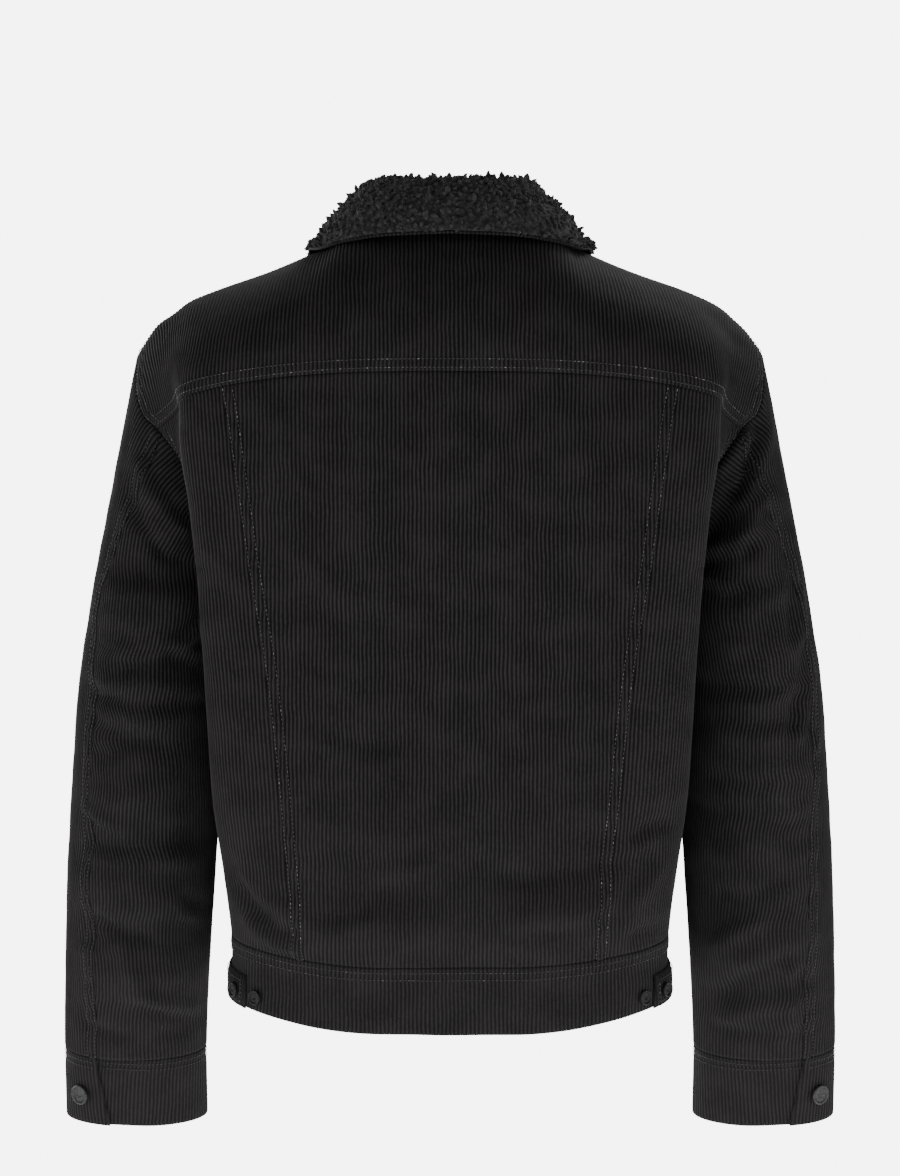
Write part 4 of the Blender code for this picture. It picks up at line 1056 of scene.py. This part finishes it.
cloth, out = grids["yoke"], normals["yoke"]
rows = [("bottom", 0.0030, 0.004, 0.004, 0.0009), ("bottom", 0.0094, 0.010, 0.010, 0.0009)]
rows += along_borders(("left", "right"), EDGE_ROWS, 0.003, 0.003, 0.0005)
gathered = [("bottom", 0.0030, 0.0094, 0.0003)]
woven("yoke", cloth, out, rows, lined=lining, plumb=True, raised=[("bottom", *FELL)], puckers=gathered)
stitched("yoke_stitching", cloth, out, rows, grey_thread)

# ---------------------------------------------------------------- centre back and side backs
# The centre back narrows to the waist and is felled over the two side backs, with two rows in each
# seam. The side backs' own edges lie under it.

cloth, out = grids["back_centre"], normals["back_centre"]
for name, border in (("back_side_right", "left"), ("back_side_left", "right")):
    cloth, out = felled(cloth, out, grids[name], normals[name], border)
rows = along_borders(("left", "right"), FELL_ROWS, 0.001, 0.001, 0.0009)
felling = [("left", *FELL), ("right", *FELL)]
gathered = [("left", *FELL_ROWS, 0.0008), ("right", *FELL_ROWS, 0.0008)]
woven("back_centre", cloth, out, rows, lined=lining, raised=felling, puckers=gathered)
stitched("back_stitching", cloth, out, rows, grey_thread)

SIDES = (("left", "left", "right", 1), ("right", "right", "left", -1))
half_lean = wale_places(centre, 0, False)[:, [-1]] / 2
for hand, near, far, flip in SIDES:
    name = f"back_side_{hand}"
    cloth, out = grids[name], normals[name]
    rows = along_borders([far], EDGE_ROWS, 0.002, 0.003, 0.0004)
    woven(name, cloth, out, rows, lined=lining,
          zero=0 if flip > 0 else -1, lean=flip * half_lean, raised=[(near, *UNDER_FELL)])
    stitched(f"{name}_stitching", cloth, out, rows)

# ---------------------------------------------------------------- fronts
# Plain corduroy fronts, cut in one piece each from the shoulder to the band, and from the centre line
# to the side seam, where they are sewn to the side backs.

every_other = sorted({0, 1, 2, 3, *range(3, len(front) - 4, 2), *range(len(front) - 4, len(front))})
for hand, side_edge, _, flip in SIDES:
    cloth, out = (each[f"front_{hand}"][every_other] for each in (grids, normals))
    rows = along_borders([side_edge, "top"], EDGE_ROWS, 0.002, 0.003, 0.0004)
    woven(f"front_{hand}", cloth, out, rows, lined=lining, zero=-1 if flip > 0 else 0,
          plumb=True)
    stitched(f"front_{hand}_stitching", cloth, out, rows[:2])

# ---------------------------------------------------------------- sleeves
# Two pieces of corduroy each. The upper sleeve is felled over the under sleeve down the back of the
# arm with two rows of stitches. The front seam is plain.

for hand, near, far, _ in SIDES:
    upper, under = f"sleeve_upper_{hand}", f"sleeve_under_{hand}"
    cloth, out = felled(grids[upper], normals[upper], grids[under], normals[under], near)
    rows = along_borders([near], FELL_ROWS, 0.001, 0.003, 0.0009)
    woven(upper, cloth, out, rows, lined=lining, raised=[(near, *FELL)],
          puckers=[(near, *FELL_ROWS, 0.0007)])
    woven(under, grids[under], normals[under], lined=lining, raised=[(far, *UNDER_FELL)])
    stitched(f"sleeve_{hand}_stitching", cloth, out, rows, dull_thread)

# ---------------------------------------------------------------- hem band
# A straight strip of corduroy, doubled, over the gathered bottom of the body. Two rows of stitches
# along its upper edge hold it on.

band, band_out = grids["hem_band"], normals["hem_band"]
rows = along_borders(["top"], (0.0042, 0.0100), 0.002, 0.002, 0.0007)
woven("hem_band", band, band_out, rows, relief=0.0007, turn=0.0016, plumb=True,
      raised=[("top", 0.0120, 0.0006)], puckers=[("top", 0.0042, 0.0100, 0.0004)])
stitched("hem_band_stitching", band, band_out, rows)

# ---------------------------------------------------------------- waist tabs
# A short strap of doubled corduroy at each side of the band, stitched along all its edges and held
# down by a metal button near its end.

middle = band.shape[1] // 2
TAB_COLUMNS, STRIP_TURN = np.array([10, 19]) * FINE, 0.0014
for hand, _, _, flip in SIDES:
    first, last = sorted(middle + flip * TAB_COLUMNS)
    cloth, out = (each[: TAB_ROW + 1, first : last + 1] for each in (band, band_out))
    cloth = cloth + out * (SEAM_GAP + STRIP_WALL)
    rows = along_borders(("left", "right", "top", "bottom"), [0.0040], 0.003, 0.003, 0.0005)
    woven(f"tab_{hand}", cloth, out, rows, STRIP_WALL, turn=STRIP_TURN, plumb=True)
    stitched(f"tab_{hand}_stitching", cloth, out, rows)

# ---------------------------------------------------------------- front placket
# The strip of doubled corduroy that carries the buttons, from the collar to the hem. It lies over both
# front edges and is stitched down both its sides.

lower = band[:, [*range(-FINE - 1, 0), *range(1, FINE + 1)]]
upper = np.hstack([grids["front_left"][1:, -FINE - 1 :], grids["front_right"][1:, 1 : FINE + 1]])
cloth = np.vstack([lower, upper])
out = normals_of({"placket": cloth})["placket"]
cloth = cloth + out * (SEAM_GAP + STRIP_WALL)
rows = along_borders(("left", "right"), [0.0040], 0.003, 0.003, 0.0005)
woven("placket", cloth, out, rows, STRIP_WALL, turn=STRIP_TURN, plumb=True)
stitched("placket_stitching", cloth, out, rows)

# ---------------------------------------------------------------- cuffs
# A doubled band of corduroy round each wrist, sewn to the sleeve along its top. Its end laps over its
# start at the back of the arm, where a button holds it.

CUFF_START, CUFF_STEP, CUFF_LAP = 28, 12, (57, 70)
CUFF_ROWS = (0.060, 0.059, 0.0565, 0.050, 0.043, 0.036, 0.029, 0.022, 0.015, 0.008, 0.003, 0.001, 0)


def cuff_grid():
    """The left cuff's outer face, from its hem up."""
    grid = []
    for z in CUFF_SEAM - np.array(CUFF_ROWS):
        lap = 360 + np.interp(CUFF_SEAM - z, (0, CUFF_SEAM - CUFF_HEM), CUFF_LAP)
        once_round = np.arange(CUFF_START, CUFF_START + 361, CUFF_STEP)
        angles = between(np.concatenate([once_round, np.linspace(once_round[-1], lap, 4)[1:]]), 5)
        ring = sleeve_ring(z, angles, twisted=False)
        spread = unit(ring - sleeve_ring(z, np.arange(0, 360, 30)).mean(axis=0))
        under = 1 - smooth((angles - CUFF_LAP[1] - 6) / 40)
        grid.append(ring - spread * under[:, None] * (CUFF_WALL + 2 * SEAM_GAP))
    return np.array(grid)[:, ::-1]


for hand, _, _, flip in SIDES:
    cloth = cuff_grid() if flip > 0 else mirrored(cuff_grid())
    out = normals_of({"cuff": cloth})["cuff"]
    rows = along_borders(["top"], (0.0040, 0.0090), 0.002, 0.002, 0.0004)
    woven(f"cuff_{hand}", cloth, out, rows, CUFF_WALL, relief=0.0006,
          turn=STRIP_TURN, puckers=[("top", 0.0040, 0.0090, 0.0003)])
    stitched(f"cuff_{hand}_stitching", cloth, out, rows, dull_thread)

# ---------------------------------------------------------------- collar
# The collar stands up from the neck seam, rolls over and lies on the yoke. Its under side is ribbed
# corduroy, whose edge just shows, and its top is curly sherpa, fuller in the middle than at its edge.

COLLAR = table(
    "angle lean top x y z",
    (0, 0.008, 0.0270, 0.000, 0.1040, -0.003),
    (30, 0.011, 0.0270, 0.059, 0.0930, -0.0060),
    (60, 0.018, 0.0258, 0.0990, 0.0595, -0.0156),
    (90, 0.022, 0.0212, 0.1115, 0.0020, -0.0190),
    (120, 0.019, -0.0020, 0.106, -0.0560, -0.040),
    (150, 0.010, -0.0290, 0.086, -0.1050, -0.091),
    (166, 0.006, -0.0380, 0.060, -0.1280, -0.130),
)
ROLL, ROLL_END, COLLAR_CLEARANCE, COLLAR_FLOAT = 0.006, math.radians(48), 0.0053, (0.0065, 0.0045)
FACING_SHARE, UNDER_COLLAR_SHOW, SHERPA_WALL = 0.7, 0.0025, 0.0085
COLLAR_COLUMNS, UNDER_COLLAR_CELLS, STAND_AND_ROLL = 112, (19, 169), 6


def collar_column(angle):
    """The collar's line from the neck seam up the stand, over the roll and down to the edge."""
    row, spot, up = row_of(COLLAR, "angle", math.degrees(angle)), neck(angle), np.array([0, 0, 1])
    depth = NECK_BACK if spot[1] > 0 else NECK_FRONT
    away = unit(np.array([spot[0] / NECK_SIDE**2, spot[1] / depth**2, 0]))
    foot = spot - away * (UNDER_COLLAR_WALL + SEAM_GAP / 2) + up * 2 * SEAM_GAP
    top = np.array([*(foot - away * row["lean"])[:2], row["top"]])
    stand = [foot + (top - foot) * share for share in (0, 0.33, 0.67)]
    roll = [
        top + ROLL * (away * (1 + math.cos(a)) + up * math.sin(a)) for a in np.linspace(math.pi, ROLL_END, 5)
    ]
    edge = np.array([row["x"], row["y"], row["z"]])
    span = np.linalg.norm(edge - roll[-1])
    tangent = away * math.sin(ROLL_END) - up * math.cos(ROLL_END)
    steps = np.append(np.linspace(0, 1 - UNDER_COLLAR_SHOW / span, 6)[1:], 1)
    handles = roll[-1] + tangent * span * 0.3, edge - (edge - roll[-1]) * 0.3
    return np.vstack([stand, roll, bezier(roll[-1], *handles, edge, steps)])


def ground_of(grids):
    """The outer faces of the body as one surface, for what rests on them."""
    points, faces = [], []
    for grid in grids:
        faces += patches(len(points) + np.arange(grid.shape[0] * grid.shape[1]).reshape(grid.shape[:2]))
        points += grid.reshape(-1, 3).tolist()
    return BVHTree.FromPolygons(points, faces)


def collar_grid(ground):
    """The face between the sherpa and the under collar, resting on the body where it comes near."""
    grid, lifts = [], []
    for angle in np.linspace(-COLLAR_END, COLLAR_END, COLLAR_COLUMNS + 1):
        column = collar_column(abs(angle))
        column[:, 0] *= math.copysign(1, angle)
        lift = np.zeros_like(column)
        for index in range(STAND_AND_ROLL, len(column)):
            place, normal, _, distance = ground.find_nearest(Vector(column[index]))
            clear = np.dot(column[index] - np.array(place), np.array(normal))
            if abs(clear) > FACING_SHARE * distance:
                most = COLLAR_FLOAT[0] + COLLAR_FLOAT[1] * (len(column) - 1 - index)
                rest = clear if abs(angle) < NECK_POINT else min(clear, most)
                lift[index] = np.array(normal) * (max(rest, COLLAR_CLEARANCE) - clear)
        grid.append(column)
        lifts.append(lift)
    lifts = np.pad(np.stack(lifts, axis=1), ((0, 0), (6, 6), (0, 0)), mode="edge")
    return np.stack(grid, axis=1) + blurred(lifts, 6, 3.5, COLLAR_COLUMNS + 1)


def finer(grid, rows, columns):
    """The grid read at more places on smooth curves through its rows, and then its columns."""
    for places in (rows, columns):
        spots = np.arange(len(grid))
        grid = through(spots, grid, np.linspace(0, spots[-1], places)).transpose(1, 0, 2)
    return grid


ground = ground_of([grids[name][::3, ::2] for name in ("yoke", "back_centre", "front_left", "front_right")])
under = collar_grid(ground)[:, ::-1]
out = normals_of({"collar": under})["collar"]
out[0, :, 2] = 0
out[0] = unit(out[0])

below = (under - out * (SEAM_GAP / 2 + UNDER_COLLAR_WALL))[:, ::-1]
below_out = unit(finer(-out[:, ::-1], *UNDER_COLLAR_CELLS))
below = finer(below, *UNDER_COLLAR_CELLS)
woven("collar_under", below, below_out, wall=UNDER_COLLAR_WALL, relief=0.0007, turn=0.0008)

# The sherpa has clumps of curls in its own relief, and is less full at its edge and its two ends.
noise.seed_set(7)  # noise_vector takes its offsets from this seed
CURL_ROWS, CURL_COLUMNS, BASE_STEP = 76, 450, 6
CLUMP_SCALE, STIR_SCALE, CURL_SCALE = 215, 230, 330
rows, columns = (np.linspace(0, 1, size) for size in (under.shape[0] - 1, under.shape[1]))
ends = np.minimum(1, 0.5 + 9 * np.minimum(columns, 1 - columns))
plump = np.minimum(1, 0.22 + 5 * (1 - rows))[:, None] * ends
full = SEAM_GAP / 2 + (SHERPA_WALL - 0.0015) * plump[..., None]  # the curls fill the rest of the wall
base = finer(under[:-1] + out[:-1] * SEAM_GAP / 2, CURL_ROWS, CURL_COLUMNS)
face = finer(under[:-1] + out[:-1] * full, CURL_ROWS, CURL_COLUMNS)
face_out = unit(finer(out[:-1], CURL_ROWS, CURL_COLUMNS))


def curl_height(point):
    """The height of the clumps in millimetres, rounded, with gaps between them."""
    distances, _ = noise.voronoi(point * CLUMP_SCALE + noise.noise_vector(point * STIR_SCALE) * 0.7)
    clump = min(0.75, distances[1] - distances[0]) ** 0.6 - 0.55
    return 3.0 * clump + 0.8 * noise.noise(point * CURL_SCALE) - 0.4


relief = np.array([[curl_height(Vector(point)) for point in row] for row in face.tolist()]) * 0.001
face = face + face_out * relief[..., None]
# The gap colour is painted shade between the curls.
sherpa = fleece("black_sherpa", (0.0055, 0.0055, 0.0056), (0.0225, 0.0225, 0.0230), 240, 0.0004)

# The flat base has every sixth row of the face, and a rim joins the two.
kept = np.unique(np.append(np.arange(0, CURL_ROWS, BASE_STEP), CURL_ROWS - 1))
ids = np.arange(CURL_ROWS * CURL_COLUMNS).reshape(CURL_ROWS, CURL_COLUMNS)
back = ids.size + np.arange(len(kept) * CURL_COLUMNS).reshape(len(kept), CURL_COLUMNS)
verts = np.vstack([face.reshape(-1, 3), base[kept].reshape(-1, 3)]).tolist()
rim = []
for j, (start, end) in enumerate(zip(kept, kept[1:])):
    rim.append([*ids[start : end + 1, 0][::-1], back[j, 0], back[j + 1, 0]])
    rim.append([*ids[start : end + 1, -1], back[j + 1, -1], back[j, -1]])
for c in range(CURL_COLUMNS - 1):
    rim.append([ids[0, c], ids[0, c + 1], back[0, c + 1], back[0, c]])
    rim.append([ids[-1, c + 1], ids[-1, c], back[-1, c], back[-1, c + 1]])
faces = patches(ids) + [ring[::-1] for ring in patches(back)] + whole(rim)

# The curls: short fat hooks, thickest in the middle, that stand close together and lean all ways. Those
# at the edge hang over it where it is fullest.
chance = random.Random(7)
TUFT_ROWS, TUFT_COLUMNS, TUFT_THICKNESS = 22, 135, (1.05, 1.2, 1.0, 0.40)
FULLEST = (-0.050, 0.100)  # the edge is fullest outside these two places
climb, stretch = lengths(face[:, CURL_COLUMNS // 2]), lengths(face[CURL_ROWS // 2])
for tuft in range(TUFT_ROWS * TUFT_COLUMNS):
    r = (tuft // TUFT_COLUMNS + chance.uniform(0.1, 0.9) + 0.2) / (TUFT_ROWS + 0.2) * climb[-1]
    c = (tuft % TUFT_COLUMNS + chance.uniform(0.0, 1.0)) / TUFT_COLUMNS * stretch[-1]
    r = int(np.clip(np.searchsorted(climb, r), 1, CURL_ROWS - 1))
    c = int(np.clip(np.searchsorted(stretch, c), 1, CURL_COLUMNS - 2))
    root, top = Vector(face[r, c]), Vector(face_out[r, c])
    lean = Vector([chance.uniform(-1, 1) for _ in range(3)])
    lean = (lean - top * lean.dot(top)).normalized()
    reach, hook = chance.uniform(0.0028, 0.0050), chance.uniform(1.2, 2.9)
    thick = chance.uniform(0.0011, 0.0018)
    if chance.random() < 0.10:
        reach, hook, thick = reach * 1.35, 0.9, thick * 1.35
    if r > CURL_ROWS - 5:
        hangs = root.x < FULLEST[0] or root.x > FULLEST[1]
        down = Vector(face[-1, c] - face[-5, c]).normalized()
        lean = (lean * 0.5 + down * (1.2 if hangs else 0.3)).normalized()
        reach, hook = reach * (1.5 if hangs else 0.8), 1.6
    radius = reach / hook
    spin = top.cross(lean)
    faces += tube(len(verts), 4, 4)
    for step, wide in enumerate(TUFT_THICKNESS):
        turn = hook * step / 3
        spot = root - top * 0.0010 + top * radius * math.sin(turn) * 1.3
        spot += lean * radius * (1 - math.cos(turn))
        flat = spin.cross(top * math.cos(turn) + lean * math.sin(turn))
        for angle in math.tau * np.arange(4) / 4:
            verts.append(list(spot + (spin * math.cos(angle) + flat * math.sin(angle)) * (thick * wide)))
collar = shaped("collar_sherpa", verts, faces, sherpa)
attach(collar, "root")
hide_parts("collar_upper")

# ---------------------------------------------------------------- buttons
# Sewn-through shank buttons of dark, worn metal: a rolled rim round a sunk centre, turned on a lathe.
# The profile runs from the middle of the back, over the rim, to the middle of the front.

JACKET_BUTTON, BAND_BUTTON, BAND_FLATNESS, BUTTON_SIDES = 0.0083, 0.0060, 0.86, 32
CUFF_AXIS = (0.2590, -0.075)
PROFILE_REACH = (0, 0.4, 0.42, 0.8, 0.94, 0.985, 1, 0.985, 0.94, 0.87)
PROFILE_REACH += (0.8, 0.74, 0.7, 0.62, 0.5, 0.38, 0.3, 0.22, 0.12, 0)
PROFILE_HEIGHT = (6, 6, 18, 19, 22, 27, 33, 39, 44, 46, 44, 38, 34, 33, 36, 37, 35, 30, 28, 28)
TENTH_MM = 0.0001  # what the profile's heights are in


def metal(name, dark, light):
    """Metal that is brighter and rougher in specks, where it is worn."""
    made, tree, sockets = plain(name, light, 0.5, Metallic=0.8)
    specks = speckled(tree, sockets, dark, light, 0.35, 0.40, 700, 5)
    rough = node(tree, "MapRange", Value=specks, To_Min=0.42, To_Max=0.70)
    wire(tree, sockets, Roughness=rough.outputs["Result"])
    return made


worn_metal = metal("worn_metal", (0.012, 0.012, 0.0123), (0.050, 0.050, 0.051))
black_metal = metal("black_metal", (0.003, 0.003, 0.0031), (0.012, 0.012, 0.0122))
for name in sorted(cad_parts):
    if not name.startswith("button_"):
        continue
    # A button's place and the way it faces are read from its solid, and point away from the wearer.
    solid = np.array([vertex.co[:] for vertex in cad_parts[name].data.vertices])
    centre_point = solid.mean(axis=0)
    axis = np.linalg.svd(solid - centre_point)[2][2]
    inward = np.array([0.0, 0.0, centre_point[2]])
    if "cuff" in name:
        inward[:2] = math.copysign(CUFF_AXIS[0], centre_point[0]), CUFF_AXIS[1]
    if axis @ (centre_point - inward) < 0:
        axis = -axis
    seat = centre_point + axis * ((solid - centre_point) @ axis).min()
    side_way = unit(np.cross(axis, [0, 0, 1.0]))
    up_way = np.cross(axis, side_way)
    large = "cuff" in name or "front" in name
    radius, flatness = (JACKET_BUTTON, 1) if large else (BAND_BUTTON, BAND_FLATNESS)
    verts = []
    for reach, height in zip(PROFILE_REACH, PROFILE_HEIGHT):
        for turn in math.tau * np.arange(BUTTON_SIDES) / BUTTON_SIDES:
            spread = side_way * math.cos(turn) - up_way * math.sin(turn)
            rise = axis * height * TENTH_MM * flatness
            verts.append((seat + spread * radius * max(reach, 0.001) + rise).tolist())
    faces = tube(0, len(PROFILE_REACH), BUTTON_SIDES)
    button = shaped(f"{name}_metal", verts, faces, worn_metal if large else black_metal)
    shape = bmesh.new()
    shape.from_mesh(button.data)
    bmesh.ops.recalc_face_normals(shape, faces=shape.faces)
    shape.to_mesh(button.data)
    shape.free()
    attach(button, "root")
    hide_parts(name)

# ---------------------------------------------------------------- update
# The view layer is brought up to date.

bpy.context.view_layer.update()
